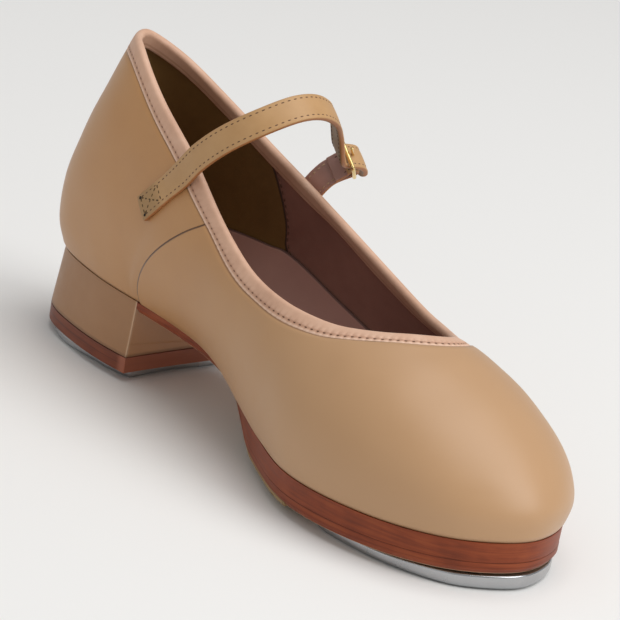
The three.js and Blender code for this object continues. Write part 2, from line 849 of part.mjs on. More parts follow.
function makeBuckleFrame() {
  const w = buckleHalfWidth;
  const r = buckleReach;
  const c = buckleCorner;
  const corner = (x, y, a0) => [0, 0.5, 1].map((t) => {
    const angle = a0 + (t * Math.PI) / 2;
    return [x + c * Math.cos(angle), y + c * Math.sin(angle)];
  });
  const outline = [
    ...corner(w - c, r - c, 0),
    [0, r],
    ...corner(c - w, r - c, Math.PI / 2),
    ...corner(c - w, c, Math.PI),
    [0, 0],
    ...corner(w - c, c, -Math.PI / 2),
  ];
  const points = outline.map(([x, y]) => atBuckle(x, y, 0.5 * (y / r)));
  return rod(points, wireRadius, 6, true, 30);
}

const prongPath = () => [
  atBuckle(0, -1.0, -1.6),
  atBuckle(0, -1.9, 0),
  atBuckle(0, -1.1, 1.6),
  atBuckle(0, 1.6, 1.9),
  atBuckle(0, buckleReach * 0.6, 2.3),
  atBuckle(0, buckleReach + 1.4, 0.5 + wireRadius + prongRadius + clearance + 0.2),
];

const makeProng = (grow = 0) => rod(prongPath(), prongRadius + grow, 6, false, 16);

// Short strap: sewn to the outer quarter, round the hinge bar and back inside itself
const turn = wireRadius + clearance + 0.1 + loopThickness / 2;
function makeBuckleStrap() {
  const stops = sewnStops(true, shortStrapFeet, loopThickness);
  stops.push({ point: inShoe(0.343, 0.745, 0.715), across: buckle.across });
  for (let degrees = -90; degrees <= 150; degrees += 30) {
    const angle = THREE.MathUtils.degToRad(degrees);
    const point = atBuckle(0, turn * Math.sin(angle), turn * Math.cos(angle));
    stops.push({ point, across: buckle.across });
  }
  const end = atBuckle(0, -0.5 * turn, -turn - loopEnd);
  stops.push({ point: end, across: buckle.across });
  return strip(stops, strapWidth, loopThickness, 28);
}

// The loop has a slot for the prong
function loopSlot() {
  const reach = turn + loopThickness;
  const box = new THREE.BoxGeometry(2 * reach, 2 * (prongRadius + clearance), 2 * reach);
  const place = new THREE.Matrix4().makeBasis(buckle.up, buckle.across, buckle.out);
  return box.applyMatrix4(place.setPosition(buckle.hinge));
}

// Feet of the straps: x and z of their middle line on the quarter, as shares
const strapFeet = named(["x", "z"], [
  [0.268, 0.578],
  [0.289, 0.625],
  [0.31, 0.675],
]);
const shortStrapFeet = named(["x", "z"], [
  [0.295, 0.548],
  [0.313, 0.603],
]);

function sewnStops(outerSide, feet, thickness) {
  const places = feet.map((foot) =>
    onSide(outerSide, foot.x * soleLength, foot.z * collarHeight));
  const points = places.map(({ place, below }) =>
    offSkin(place, below, clearance + thickness / 2));
  return places.map(({ place, below }, k) => {
    const along = k > 0 ? points[k].clone().sub(points[k - 1])
      : points[1].clone().sub(points[0]);
    const across = skinNormal(place, below).cross(along).normalize();
    if (across.dot(buckle.across) < 0) across.negate();
    return { point: points[k], across };
  });
}

// Free part of the instep strap, as shares of sole length, half ball width, collar height
const archRows = named(["x", "y", "z"], [
  [0.333, -0.645, 0.737],
  [0.362, -0.65, 0.81],
  [0.4, -0.6, 0.893],
  [0.434, -0.45, 0.966],
  [0.45, -0.2, 1.014],
  [0.449, 0.0, 1.016],
  [0.435, 0.22, 0.983],
  [0.409, 0.42, 0.92],
]);

function makeInstepStrap() {
  const stops = sewnStops(false, strapFeet, strapThickness);
  for (const row of archRows) {
    stops.push({ point: inShoe(row.x, row.y, row.z), across: buckle.across });
  }
  const deep = strapThickness / 2;
  const under = 0.5 - wireRadius - clearance - deep;
  const over = wireRadius + 2 * clearance + loopThickness + deep;
  const tail = [
    [buckleReach + 3, under - 0.4, 1],
    [buckleReach, under - 0.2, 1],
    [buckleReach * 0.62, under * 0.3 + over * 0.25, 1],
    [0.6, over + 0.2, 1],
    [-4, over + 0.6, 0.98],
    [-7.5, over - 0.2, 0.85],
    [-9.5, over - 1.2, 0.45],
  ];
  for (const [up, out, share] of tail) {
    stops.push({ point: atBuckle(0, up, out), across: buckle.across, share });
  }
  return strip(stops, strapWidth, strapThickness, 40);
}

// Finish of each piece
const finish = {
  leather: { color: 0xb78f66, roughness: 0.5, metalness: 0 },
  binding: { color: 0xc69c83, roughness: 0.55, metalness: 0 },
  edge: { color: 0x8c4a2c, roughness: 0.55, metalness: 0 },
  waist: { color: 0xcbaa8c, roughness: 0.6, metalness: 0 },
  rubber: { color: 0x9a8150, roughness: 0.8, metalness: 0 },
  lining: { color: 0x76554f, roughness: 0.8, metalness: 0 },
  aluminium: { color: 0xc9ccce, roughness: 0.28, metalness: 1 },
  nickel: { color: 0xc4bfae, roughness: 0.3, metalness: 1 },
  gold: { color: 0xd0a94e, roughness: 0.25, metalness: 1 },
};

const pieces = [
  ["upper", makeUpper(), "leather"],
  ["collar_binding", makeBinding(), "binding"],
  ["insole", makeInsole(), "lining"],
  ["forepart_platform", makePlatform(), "edge"],
  ["outsole", makeOutsole(), "waist"],
  ["rubber_pad", makePad(), "rubber"],
  ["heel_block", makeHeelBlock(), "leather"],
  ["heel_lift", makeHeelLift(), "edge"],
  ["toe_tap", makeToeTap(), "aluminium"],
  ["heel_tap", makeHeelTap(), "aluminium"],
  ["instep_strap", cut(makeInstepStrap(), [makeProng(clearance)]), "leather"],
  ["buckle_strap", cut(makeBuckleStrap(), [loopSlot()]), "leather"],
  ["buckle_frame", makeBuckleFrame(), "gold"],
  ["buckle_prong", makeProng(), "gold"],
];
screwPlaces(toeScrews).forEach((place, k) => {
  pieces.push([`toe_tap_screw_${k + 1}`, makeScrew(place), "nickel"]);
});
screwPlaces(heelScrews).forEach((place, k) => {
  pieces.push([`heel_tap_screw_${k + 1}`, makeScrew(place), "nickel"]);
});

const shoe = new THREE.Group();
const bounds = new THREE.Box3();
for (const [name, geometry, look] of pieces) {
  const mesh = new THREE.Mesh(geometry, new THREE.MeshStandardMaterial(finish[look]));
  mesh.name = name;
  geometry.computeBoundingBox();
  bounds.union(geometry.boundingBox);
  shoe.add(mesh);
}

// The origin is the middle of the footprint, on the ground
const middle = bounds.getCenter(vec(0, 0, 0));
shoe.position.set(-middle.x, -middle.y, -bounds.min.z);

export default shoe;
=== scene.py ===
import math

import bmesh
import bpy
import numpy as np
from mathutils import Matrix, Vector
from mathutils.bvhtree import BVHTree


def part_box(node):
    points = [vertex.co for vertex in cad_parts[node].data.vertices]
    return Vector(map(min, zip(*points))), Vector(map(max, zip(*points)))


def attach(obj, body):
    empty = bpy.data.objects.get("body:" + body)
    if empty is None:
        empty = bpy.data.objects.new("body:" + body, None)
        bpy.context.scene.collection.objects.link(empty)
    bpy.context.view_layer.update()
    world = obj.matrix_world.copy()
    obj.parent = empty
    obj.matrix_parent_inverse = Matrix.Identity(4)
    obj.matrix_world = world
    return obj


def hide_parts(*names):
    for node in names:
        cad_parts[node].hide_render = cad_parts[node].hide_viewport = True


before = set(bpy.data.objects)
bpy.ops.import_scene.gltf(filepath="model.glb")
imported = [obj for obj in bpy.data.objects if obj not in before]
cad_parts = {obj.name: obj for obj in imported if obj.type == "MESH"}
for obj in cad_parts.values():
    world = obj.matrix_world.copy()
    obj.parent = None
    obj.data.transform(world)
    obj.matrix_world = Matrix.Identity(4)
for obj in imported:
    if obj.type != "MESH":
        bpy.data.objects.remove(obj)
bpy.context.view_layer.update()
mm = 0.001

# The shoe's own sizes, in metres. Places on it are shares of these, counted from the back of
# the sole, from its middle line and from the ground.
shoe = {
    "soleLength": 240 * mm,
    "halfBall": 42.35 * mm,
    "collarHeight": 106.7 * mm,
    "heelFlare": 2.6 * mm,
}


class Value:
    def __init__(self, recipe, socket):
        self.recipe = recipe
        self.socket = socket

    def maths(self, operation, *others):
        values = {k: v for k, v in enumerate((self, *others))}
        return self.recipe.add("ShaderNodeMath", {"operation": operation}, values)

    def __add__(self, other):
        return self.maths("ADD", other)

    __radd__ = __add__

    def __sub__(self, other):
        return self.maths("SUBTRACT", other)

    def __rsub__(self, other):
        values = {0: other, 1: self}
        return self.recipe.add("ShaderNodeMath", {"operation": "SUBTRACT"}, values)

    def __mul__(self, other):
        return self.maths("MULTIPLY", other)

    def sine(self):
        return self.maths("SINE")

    def fold(self):
        return self.maths("ABSOLUTE")

    def clamped(self):
        return self.maths("MAXIMUM", 0.0).maths("MINIMUM", 1.0)

    def between(self, low, high):  # 0 below low, 1 above high, smooth
        settings = {"interpolation_type": "SMOOTHSTEP"}
        return self.recipe.add("ShaderNodeMapRange", settings, {
            "Value": self, "From Min": low, "From Max": high, "To Min": 0.0, "To Max": 1.0})


class Recipe:
    def __init__(self, name):
        self.material = bpy.data.materials.new(name)
        self.material.use_nodes = True
        self.tree = self.material.node_tree
        self.shader = self.tree.nodes["Principled BSDF"]
        self.last = None

    def feed(self, socket, value):
        if isinstance(value, Value):
            self.tree.links.new(value.socket, socket)
        else:
            socket.default_value = value

    def add(self, kind, settings=None, values=None, out=0):
        node = self.tree.nodes.new(kind)
        for key, value in (settings or {}).items():
            setattr(node, key, value)
        for key, value in (values or {}).items():
            self.feed(node.inputs[key], value)
        return Value(self, node.outputs[out])

    def set(self, **values):
        for key, value in values.items():
            self.feed(self.shader.inputs[key.replace("_", " ")], value)

    def place(self):
        return self.add("ShaderNodeTexCoord", out="Object")

    def stretched(self, x, y, z):  # object coordinates with another scale on each axis
        values = {"Vector": self.place(), "Scale": (x, y, z)}
        return self.add("ShaderNodeMapping", None, values)

    def onPiece(self, name):
        return self.add("ShaderNodeAttribute", {"attribute_name": name}, out="Fac")

    def noise(self, scale, detail=2.0, where=None, rough=0.5, warp=0.0):
        return self.add("ShaderNodeTexNoise", None, {
            "Vector": where or self.place(), "Scale": scale, "Detail": detail,
            "Roughness": rough, "Distortion": warp})

    def along(self, axis):
        return self.add("ShaderNodeSeparateXYZ", None, {0: self.place()}, axis)

    def cells(self, scale):
        return self.add("ShaderNodeTexVoronoi", None, {"Vector": self.place(), "Scale": scale})

    def mix(self, a, b, share):
        return self.add("ShaderNodeMix", {"data_type": "RGBA"}, {0: share, 6: a, 7: b}, 2)

    def blotches(self, broad, much, fine, little):  # soft uneven tone, round 0
        return (self.noise(broad, 3) - 0.5) * much + (self.noise(fine, 3) - 0.5) * little

    def mottled(self, color, deep, light, tone):
        shade = self.mix(color, deep, (0.0 - tone).clamped())
        return self.mix(shade, light, tone.clamped())

    def blend(self, low, high, tone):
        return self.mix(low, high, (tone + 0.5).clamped())

    def gloss(self, middle, spread):
        return middle + (self.noise(300, 2) - 0.5) * spread

    def painted(self):  # the colour that the shader has so far
        return Value(self, self.shader.inputs["Base Color"].links[0].from_socket)

    def grain(self, strength):
        self.bump(self.noise(420, 3), 0.1 * mm, strength)
        self.bump(self.cells(1500).between(0, 0.55), 0.04 * mm, strength)

    def bump(self, height, distance, strength):
        values = {"Height": height, "Distance": distance, "Strength": strength}
        if self.last is not None:
            values["Normal"] = self.last
        self.last = self.add("ShaderNodeBump", None, values)
        self.feed(self.shader.inputs["Normal"], self.last)


def paint(red, green, blue):  # a colour read off a picture, 0 to 255
    def linear(c):
        c = c / 255
        return c / 12.92 if c <= 0.04045 else ((c + 0.055) / 1.055) ** 2.4
    return (linear(red), linear(green), linear(blue), 1.0)


def addPiece(name, bm, material, node=None, turnOut=False):
    if turnOut:
        bmesh.ops.recalc_face_normals(bm, faces=bm.faces)
    mesh = bpy.data.meshes.new(name)
    bm.to_mesh(mesh)
    bm.free()
    mesh.shade_smooth()
    mesh.materials.append(material)
    piece = bpy.data.objects.new(name, mesh)
    bpy.context.scene.collection.objects.link(piece)
    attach(piece, "root")
    if node:
        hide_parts(node)
    return piece


def modify(piece, kind, **settings):
    modifier = piece.modifiers.new(kind.title(), kind)
    for key, value in settings.items():
        setattr(modifier, key, value)
    return modifier


def rounded(piece, levels, width=0.0, degrees=30):
    modify(piece, "SUBSURF", levels=levels, render_levels=levels)
    if width:
        modify(piece, "BEVEL", width=width, segments=3, limit_method="ANGLE",
               angle_limit=math.radians(degrees))


def mergedCopy(node):  # a CAD mesh is loose triangles
    bm = bmesh.new()
    bm.from_mesh(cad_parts[node].data)
    bmesh.ops.remove_doubles(bm, verts=bm.verts, dist=0.01 * mm)
    return bm


def quads(bm):
    bmesh.ops.join_triangles(bm, faces=bm.faces, angle_face_threshold=math.radians(50),
                             angle_shape_threshold=math.radians(60))


def creaseSharp(bm, degrees):
    layer = bm.edges.layers.float.get("crease_edge") or bm.edges.layers.float.new("crease_edge")
    for edge in bm.edges:
        if edge.is_boundary or edge.calc_face_angle(0) > math.radians(degrees):
            edge[layer] = 1.0


def smoothed(node, material, levels, width=0.0, degrees=35):
    bm = mergedCopy(node)
    quads(bm)
    creaseSharp(bm, degrees)
    rounded(addPiece(node + "_soft", bm, material, node), levels, width, degrees)


# A grid of columns and rows whose points are then put in place. Its uv map "along" keeps the
# share of the columns and of the rows.
def gridMesh(columns, rows):
    bm = bmesh.new()
    bmesh.ops.create_grid(bm, x_segments=columns - 1, y_segments=rows - 1, size=1)
    return bm


def placeGrid(bm, points, closed=(False, False), features=None, flip=False):
    columns, rows = points.shape[:2]
    layers = {name: bm.verts.layers.float.new(name) for name in (features or {})}
    uv = bm.loops.layers.uv.new("along")
    for face in bm.faces:
        for loop in face.loops:
            loop[uv].uv = ((loop.vert.co.x + 1) / 2, (loop.vert.co.y + 1) / 2)
    for vert in bm.verts:
        i = round((vert.co.x + 1) / 2 * (columns - 1))
        j = round((vert.co.y + 1) / 2 * (rows - 1))
        vert.co = Vector(points[i, j])
        for name, layer in layers.items():
            vert[layer] = features[name][i, j]
    if any(closed):
        edges = [v for v in bm.verts if v.is_boundary]
        bmesh.ops.remove_doubles(bm, verts=edges, dist=0.001 * mm)
    if flip:
        bmesh.ops.reverse_faces(bm, faces=bm.faces)
    return bm


def unit(vectors):
    return vectors / np.maximum(np.linalg.norm(vectors, axis=-1, keepdims=True), 1e-12)


def runAlong(points):  # the length covered up to each point
    steps = np.linalg.norm(np.diff(points, axis=0), axis=1)
    return np.concatenate([[0], np.cumsum(steps)])


def pick(at, run, values):
    return np.stack([np.interp(at, run, values[:, k]) for k in range(3)], 1)


def cubicWeights(t):  # of the four control values round a place on a closed cubic curve
    return ((1 - t) ** 3 / 6, (3 * t ** 3 - 6 * t ** 2 + 4) / 6,
            (-3 * t ** 3 + 3 * t ** 2 + 3 * t + 1) / 6, t ** 3 / 6)


def throughFour(a, b, c, d, t):  # smoothly from b to c, with a before and d after them
    return b + 0.5 * t * (c - a + t * (2 * a - 5 * b + 4 * c - d + t * (3 * (b - c) + d - a)))


# The skin of the upper, read back from its CAD mesh.
# Places run along the collar from the back of the heel by the inner side, the toe and the
# outer side, and below is the distance down the skin from the collar edge.
lay = {
    "rows": 22, "columnsPerRow": 3, "bodyRows": 9, "innerSeam": 5, "outerSeam": 17,
    "lap": 0.5 * mm, "edgeSkive": 0.6 * mm, "wall": 1.9 * mm, "bindingWidth": 5.6 * mm,
    "bodyTop": 5.9 * mm,
}


def controlPoints(values):  # of the closed cubic curve through these values, on axis 0
    n = len(values)
    system = np.zeros((n, n))
    for k in range(n):
        system[k, k] = 4 / 6
        system[k, (k + 1) % n] = 1 / 6
        system[k, k - 1] = 1 / 6
    return np.linalg.solve(system, values.reshape(n, -1)).reshape(values.shape)


def withEnds(points):  # one point more at each end
    return np.vstack([2 * points[0] - points[1], points, 2 * points[-1] - points[-2]])


def evenCurve(points, count):  # smooth open curve through points, even in its own steps
    n = len(points)
    padded = withEnds(points)
    at = np.linspace(0, n - 1, count)
    k = np.minimum(at.astype(int), n - 2)
    t = (at - k)[:, None]
    return throughFour(padded[k], padded[k + 1], padded[k + 2], padded[k + 3], t)


class Skin:
    bodySteps = 60
    topSteps = 10
    above = 1.5 * mm  # the skin runs on past the collar edge by this much
    aside = 0.03  # directions are taken over this share of a row to both sides,
    updown = 0.7 * mm  # and this far up and down

    def __init__(self, node):
        grid = self.readGrid(node)
        keep = [k for k in range(len(grid)) if k not in self.extraColumns()]
        grid = grid[keep]
        columns = len(grid)
        place = np.arange(columns) / lay["columnsPerRow"]
        body = grid[:, : lay["bodyRows"] + 1]
        ahead = np.roll(body, -1, 0) - np.roll(body, 1, 0)
        up = np.gradient(body, axis=1)
        out = unit(np.cross(ahead, up))
        quarter = (place <= lay["innerSeam"]) | (place >= lay["outerSeam"])
        body = body + out * (quarter * lay["lap"])[:, None, None]
        top = [lay["bodyRows"] + 2, lay["bodyRows"] + 3]
        edge = grid[:, top] + out[:, -1:] * lay["edgeSkive"]
        self.lengths = np.linalg.norm(np.diff(body, axis=1), axis=2).sum(1) + lay["bodyTop"]
        table = []
        for column in range(columns):
            rows = evenCurve(body[column], self.bodySteps + 1)
            a, b, c = body[column, -1], edge[column, 0], edge[column, 1]
            xa, xb, xc = lay["bodyTop"], lay["bindingWidth"] / 2, 0.0
            upper = []
            for k in range(1, self.topSteps + 1):
                x = xa - (xa + self.above) * k / self.topSteps
                upper.append(a * (x - xb) * (x - xc) / (xa - xb) / (xa - xc)
                             + b * (x - xa) * (x - xc) / (xb - xa) / (xb - xc)
                             + c * (x - xa) * (x - xb) / (xc - xa) / (xc - xb))
            table.append(np.vstack([rows, upper]))
        self.control = controlPoints(np.array(table))
        self.lengthControl = controlPoints(self.lengths)

    def extraColumns(self):
        return [lay["innerSeam"] * lay["columnsPerRow"] + 1,
                lay["outerSeam"] * lay["columnsPerRow"] + 1]

    def readGrid(self, node):
        bm = mergedCopy(node)

        def around(vert):
            step = {loop.link_loop_next.vert: loop.link_loop_prev.vert for loop in vert.link_loops}
            ring = [next(iter(step))]
            while step[ring[-1]] is not ring[0]:
                ring.append(step[ring[-1]])
            return ring

        def walk(first, second):
            line = [first, second]
            while True:
                ring = around(line[-1])
                after = ring[(ring.index(line[-2]) + 3) % 6]
                if after is first:
                    return line
                line.append(after)

        atBack = [v for v in bm.verts if abs(v.co.y) < 2 * mm and v.co.x < -100 * mm]
        foot = min(atBack, key=lambda v: v.co.x + v.co.z)
        ring = around(foot)
        up = max((v for v in ring if abs(v.co.y - foot.co.y) < 2 * mm), key=lambda v: v.co.z)
        ahead = min((v for v in ring if v.co.y < foot.co.y - 2 * mm), key=lambda v: v.co.z)
        turn = (ring.index(up) - ring.index(ahead)) % 6
        feet = walk(foot, ahead)
        columns = []
        for k, start in enumerate(feet):
            ring = around(start)
            second = ring[(ring.index(feet[(k + 1) % len(feet)]) + turn) % 6]
            columns.append([list(v.co) for v in walk(start, second)])
        bm.free()
        return np.array(columns)

    def spline(self, control, place):
        columns = len(control)
        at = np.asarray(place, float) * lay["columnsPerRow"]
        k = np.floor(at).astype(int)
        return [((k + step - 1) % columns, w) for step, w in enumerate(cubicWeights(at - k))]

    def length(self, place):
        return sum(self.lengthControl[k] * w for k, w in self.spline(self.lengthControl, place))

    def point(self, place, below):
        place, below = np.broadcast_arrays(np.asarray(place, float), np.asarray(below, float))
        bodyTop = lay["bodyTop"]
        share = (below - bodyTop) / (self.length(place) - bodyTop)
        at = np.where(share > 0, self.bodySteps * (1 - share),
                      self.bodySteps + self.topSteps * (bodyTop - below) / (bodyTop + self.above))
        rows = self.control.shape[1]
        at = np.clip(at, 0, rows - 1.001)
        j = np.floor(at).astype(int)
        t = at - j
        lines = []
        for step in (-1, 0, 1, 2):
            row = np.clip(j + step, 0, rows - 1)
            lines.append(sum(self.control[k, row] * w[..., None]
                             for k, w in self.spline(self.control, place)))
        return throughFour(*lines, t[..., None])

    def normal(self, place, below):
        ahead = self.point(place + self.aside, below) - self.point(place - self.aside, below)
        up = self.point(place, below - self.updown) - self.point(place, below + self.updown)
        return unit(np.cross(ahead, up))

    def off(self, place, below, out):
        values = [np.asarray(v, float) for v in (place, below, out)]
        place, below, out = np.broadcast_arrays(*values)
        return self.point(place, below) + self.normal(place, below) * out[..., None]


skin = Skin("upper")
print("skin read:", len(skin.lengths), "columns")

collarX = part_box("heel_lift")[0].x + shoe["heelFlare"]
backTop = skin.point(0.0, 0.0)


def inShoe(x, y, z):
    return np.array([collarX + x * shoe["soleLength"], backTop[1] + y * shoe["halfBall"],
                     z * shoe["collarHeight"]])


def leather(name, color, deep, light, gloss, grain=0.1, coat=0.0, edges=(), toe=None):
    m = Recipe(name)
    broad = m.noise(22, 3)
    patch = m.noise(130, 3, rough=0.6)
    tone = (broad - 0.5) * 1.1 + (patch - 0.5) * 0.4
    shade = m.mottled(color, deep, light, tone)
    if toe:  # painted sheen: the vamp is painted a little paler towards the toe, where the top light's sheen falls
        shade = m.mix(shade, toe, m.along("X").between(-60 * mm, 50 * mm) * 0.7)
    # darker where each feature is low; on the tan leather these are painted shade at joins and lap
    # edges
    for feature, full, gone, amount, dark in edges:
        near = 1.0 - m.onPiece(feature).between(full, gone)
        shade = m.mix(shade, dark, near * amount)
    pores = m.cells(1500).between(0.0, 0.55)
    fine = m.noise(2600, 2)
    soft = m.noise(420, 3, rough=0.65)
    m.set(Base_Color=shade, Roughness=gloss + (patch - 0.5) * 0.16 + (1.0 - pores) * 0.05)
    m.set(Specular_IOR_Level=0.42, Coat_Weight=coat, Coat_Roughness=0.46)
    m.bump(soft, 0.12 * mm, grain)
    m.bump(pores * 0.7 + fine * 0.3, 0.05 * mm, grain)
    return m.material


def threadMaterial(name, color, roughness=0.8):
    m = Recipe(name)
    m.set(Base_Color=m.mix(color, paint(60, 44, 30), m.noise(900, 2) * 0.4), Roughness=roughness)
    m.bump(m.noise(3000, 2), 0.05 * mm, 0.5)
    return m.material


# Leather layers seen on edge: fine streaks that run along the edge
def edgeLeather(name, color, deep, light, layers=()):
    m = Recipe(name)
    streak = m.noise(1.0, 4, m.stretched(55, 55, 900), 0.62, 0.4)
    blot = m.noise(90, 3)
    tone = (streak - 0.5) * 1.9 + (blot - 0.5) * 1.2
    shade = m.mottled(color, deep, light, tone)
    drop = m.onPiece("drop")
    for height, width, amount in layers:
        line = 1.0 - (drop - height).fold().between(0.2 * width, width)
        shade = m.mix(shade, deep, line * amount)
    m.set(Base_Color=shade, Roughness=0.42 + (streak - 0.5) * 0.25, Specular_IOR_Level=0.28)
    m.bump(streak, 0.1 * mm, 0.3)
    return m


def brushedMetal(name, color, roughness, brush, scratch=0.3):
    m = Recipe(name)
    lines = m.noise(1.0, 4, m.stretched(*brush), 0.6)
    smear = m.noise(60, 3, rough=0.6, warp=0.6)
    tint = m.mix(color, paint(96, 100, 104), (smear - 0.35).clamped() * 0.5)
    m.set(Base_Color=tint, Metallic=1.0)
    m.set(Roughness=roughness + (lines - 0.5) * 0.18 + (smear - 0.5) * 0.16)
    m.bump(lines, 0.03 * mm, scratch)
    return m


tan = leather("tanLeather", paint(187, 137, 86), paint(166, 115, 68), paint(198, 150, 100),
              # toe: a painted sheen, paler and greyer towards the toe
              gloss=0.42, coat=0.45, toe=paint(186, 149, 112), edges=(
                  # painted shade where the upper tucks in against the sole
                  ("foot", 0.4 * mm, 1.4 * mm, 0.7, paint(116, 78, 46)),
                  # painted shade: the shadow along the vamp's lap edge at the side seams
                  ("seam", 0.3 * mm, 0.75 * mm, 0.95, paint(74, 44, 22)),
                  # painted shade: the contact shadow just under the binding's lower edge
                  ("below", 5.8 * mm, 6.35 * mm, 0.75, paint(112, 74, 48))))
mauveSock = leather("sockLeather", paint(204, 162, 150), paint(180, 138, 126),
                    paint(214, 174, 162), gloss=0.72, grain=0.2,
                    edges=(("rim", 0.3 * mm, 0.9 * mm, 0.8, paint(84, 56, 48)),))
threadDark = threadMaterial("darkThread", paint(104, 74, 52))
threadLight = threadMaterial("lightThread", paint(200, 168, 138))
threadOlive = threadMaterial("oliveThread", paint(92, 70, 36))
darkHole = threadMaterial("darkHole", paint(30, 22, 18), 0.9)
print("materials made")


# Stitches are small capsules, half sunk in the leather
def alongLine(points, normals, pitch):
    run = runAlong(points)
    at = np.arange(pitch / 2, run[-1], pitch)
    ahead = pick(at + pitch / 3, run, points) - pick(at - pitch / 3, run, points)
    return pick(at, run, points), unit(ahead), unit(pick(at, run, normals))


def addStitches(bm, line, length, width, height, sink=0.3):
    for spot, along, face in zip(*line):
        across = np.cross(face, along)
        face = np.cross(along, across)
        matrix = Matrix([
            [along[k] * length / 2, across[k] * width / 2, face[k] * height / 2,
             spot[k] - face[k] * height * sink] for k in range(3)] + [[0, 0, 0, 1]])
        bmesh.ops.create_uvsphere(bm, u_segments=6, v_segments=5, radius=1, matrix=matrix)


# The outer leather: the vamp lies over the quarter at both side seams
outer = {
    "columnStep": 0.045,  # of one row of the skin
    "rowStep": 1.2 * mm,
    "thickness": 0.95 * mm,
    "tuck": 0.7 * mm,  # the foot of the leather turns in under itself by this much
    "tuckHeight": 1.8 * mm,
    "unevenness": 0.1 * mm,
    "lapUnder": 0.45,  # the quarter runs on under the vamp by this share of a row
    "collarGap": 1.0 * mm, "calmFoot": 6 * mm, "calmCollar": 6 * mm, "calmFade": 5 * mm,
    "cutEdge": 0.7 * mm, "cutDrop": 0.25 * mm,
}
# Soft troughs and ridges, each at a place and a depth below the collar
creases = [
    # place, below, length along, slant, width, depth
    (3.3, 38 * mm, 0.2, 0.0, 16 * mm, 0.42 * mm),
    (2.2, 22 * mm, 1.3, 0.25, 5 * mm, -0.2 * mm),
    (4.1, 34 * mm, 0.5, -0.2, 9 * mm, -0.2 * mm),
    (19.4, 26 * mm, 1.2, -0.25, 5 * mm, -0.22 * mm),
    (18.0, 36 * mm, 0.5, 0.2, 9 * mm, -0.2 * mm),
    (6.6, 34 * mm, 1.0, 0.3, 7 * mm, -0.15 * mm),
    (15.0, 30 * mm, 1.0, -0.3, 7 * mm, -0.15 * mm),
    (8.2, 30 * mm, 1.4, 0.1, 9 * mm, 0.16 * mm),
]


def unevenness(place, below):
    rise = (np.sin(place * 2.1 + below * 190) * np.sin(below * 120 + 1.3)
            + 0.5 * np.sin(place * 4.7 + 0.6) * np.sin(below * 260 + 0.4))
    rise = rise * outer["unevenness"]
    for at, down, length, slant, width, depth in creases:
        middle = down + (place - at) * slant * 10 * mm
        spread = ((place - at) / length) ** 2 + ((below - middle) / width) ** 2
        rise = rise + depth * np.exp(-spread)
    return rise


def outerPanel(name, start, end, out, seams, material):
    places = np.arange(start, end + 1e-6, outer["columnStep"])
    places = np.concatenate([np.linspace(start, start + 0.06, 5)[:-1],
                             np.linspace(start + 0.06, end - 0.06, len(places)),
                             np.linspace(end - 0.06, end, 5)[1:]])
    lengths = skin.length(places)
    rowCount = int(lengths.max() / outer["rowStep"])
    share = np.concatenate([np.linspace(0, 0.05, 6)[:-1], np.linspace(0.05, 1, rowCount)])
    place = places[:, None] + 0 * share[None, :]
    foot = share[None, :] * (lengths[:, None] - outer["collarGap"])
    below = lengths[:, None] - foot
    # even at the foot and the collar, where another piece lies close
    calm = (np.clip(foot / outer["calmFoot"], 0, 1)
            * np.clip((below - outer["calmCollar"]) / outer["calmFade"], 0, 1))
    offset = out + unevenness(place, below) * calm
    turned = np.clip(1 - foot / outer["tuckHeight"], 0, 1)
    offset = offset - outer["tuck"] * turned ** 2
    skive = lay["edgeSkive"] + 0.1 * mm
    thinned = np.clip((lay["bodyTop"] + 0.4 * mm - below) / (0.8 * mm), 0, 1)
    offset = offset - skive * thinned
    points = skin.off(place, below, offset)
    seam = np.full(place.shape, 1.0)
    for at in seams:
        near = np.linalg.norm(skin.point(place, below) - skin.point(at + 0 * place, below), axis=2)
        seam = np.minimum(seam, near)
    if out == 0:  # the lap's cut edge is rounded
        turned = outer["cutDrop"] * np.clip(1 - seam / outer["cutEdge"], 0, 1) ** 2
        points = points - skin.normal(place, below) * turned[..., None]
    bm = gridMesh(len(places), len(share))
    features = {"foot": foot, "seam": seam, "below": below}
    placeGrid(bm, points, features=features, flip=True)
    piece = addPiece(name, bm, material, "upper")
    modify(piece, "SOLIDIFY", thickness=outer["thickness"], offset=-1.0)


outerPanel("vamp", lay["innerSeam"], lay["outerSeam"], 0.0,
           (lay["innerSeam"], lay["outerSeam"]), tan)
outerPanel("quarter", lay["outerSeam"] - outer["lapUnder"],
           lay["rows"] + lay["innerSeam"] + outer["lapUnder"], -lay["lap"],
           (lay["outerSeam"], lay["rows"] + lay["innerSeam"]), tan)
print("outer leather made")

lining = {
    "thickness": 0.8 * mm, "columnStep": 0.08, "rowStep": 1.6 * mm,
    "seamTop": 2.95, "seamLean": 1.4, "seamDepth": 30 * mm,
    "rowLength": 11 * mm, "stitchPitch": 2.4 * mm, "stitchLength": 1.7 * mm,
    "sockRise": 6.5 * mm, "waistRise": 11 * mm, "sockThickness": 0.7 * mm,
    "sockReach": 7 * mm, "sockGap": 0.3 * mm,
}


def linedGrid(low, high, out, steps):  # rows between two heights above the foot of the skin
    places = np.linspace(0, lay["rows"], int(lay["rows"] / lining["columnStep"]) + 1)
    lengths = skin.length(places)
    place = places[:, None] + np.zeros(steps)[None, :]
    share = np.linspace(0, 1, steps)[None, :]
    foot = low(places)[:, None] * (1 - share) + high(places)[:, None] * share
    below = lengths[:, None] - foot
    return place, below, skin.off(place, below, out + 0 * place), foot


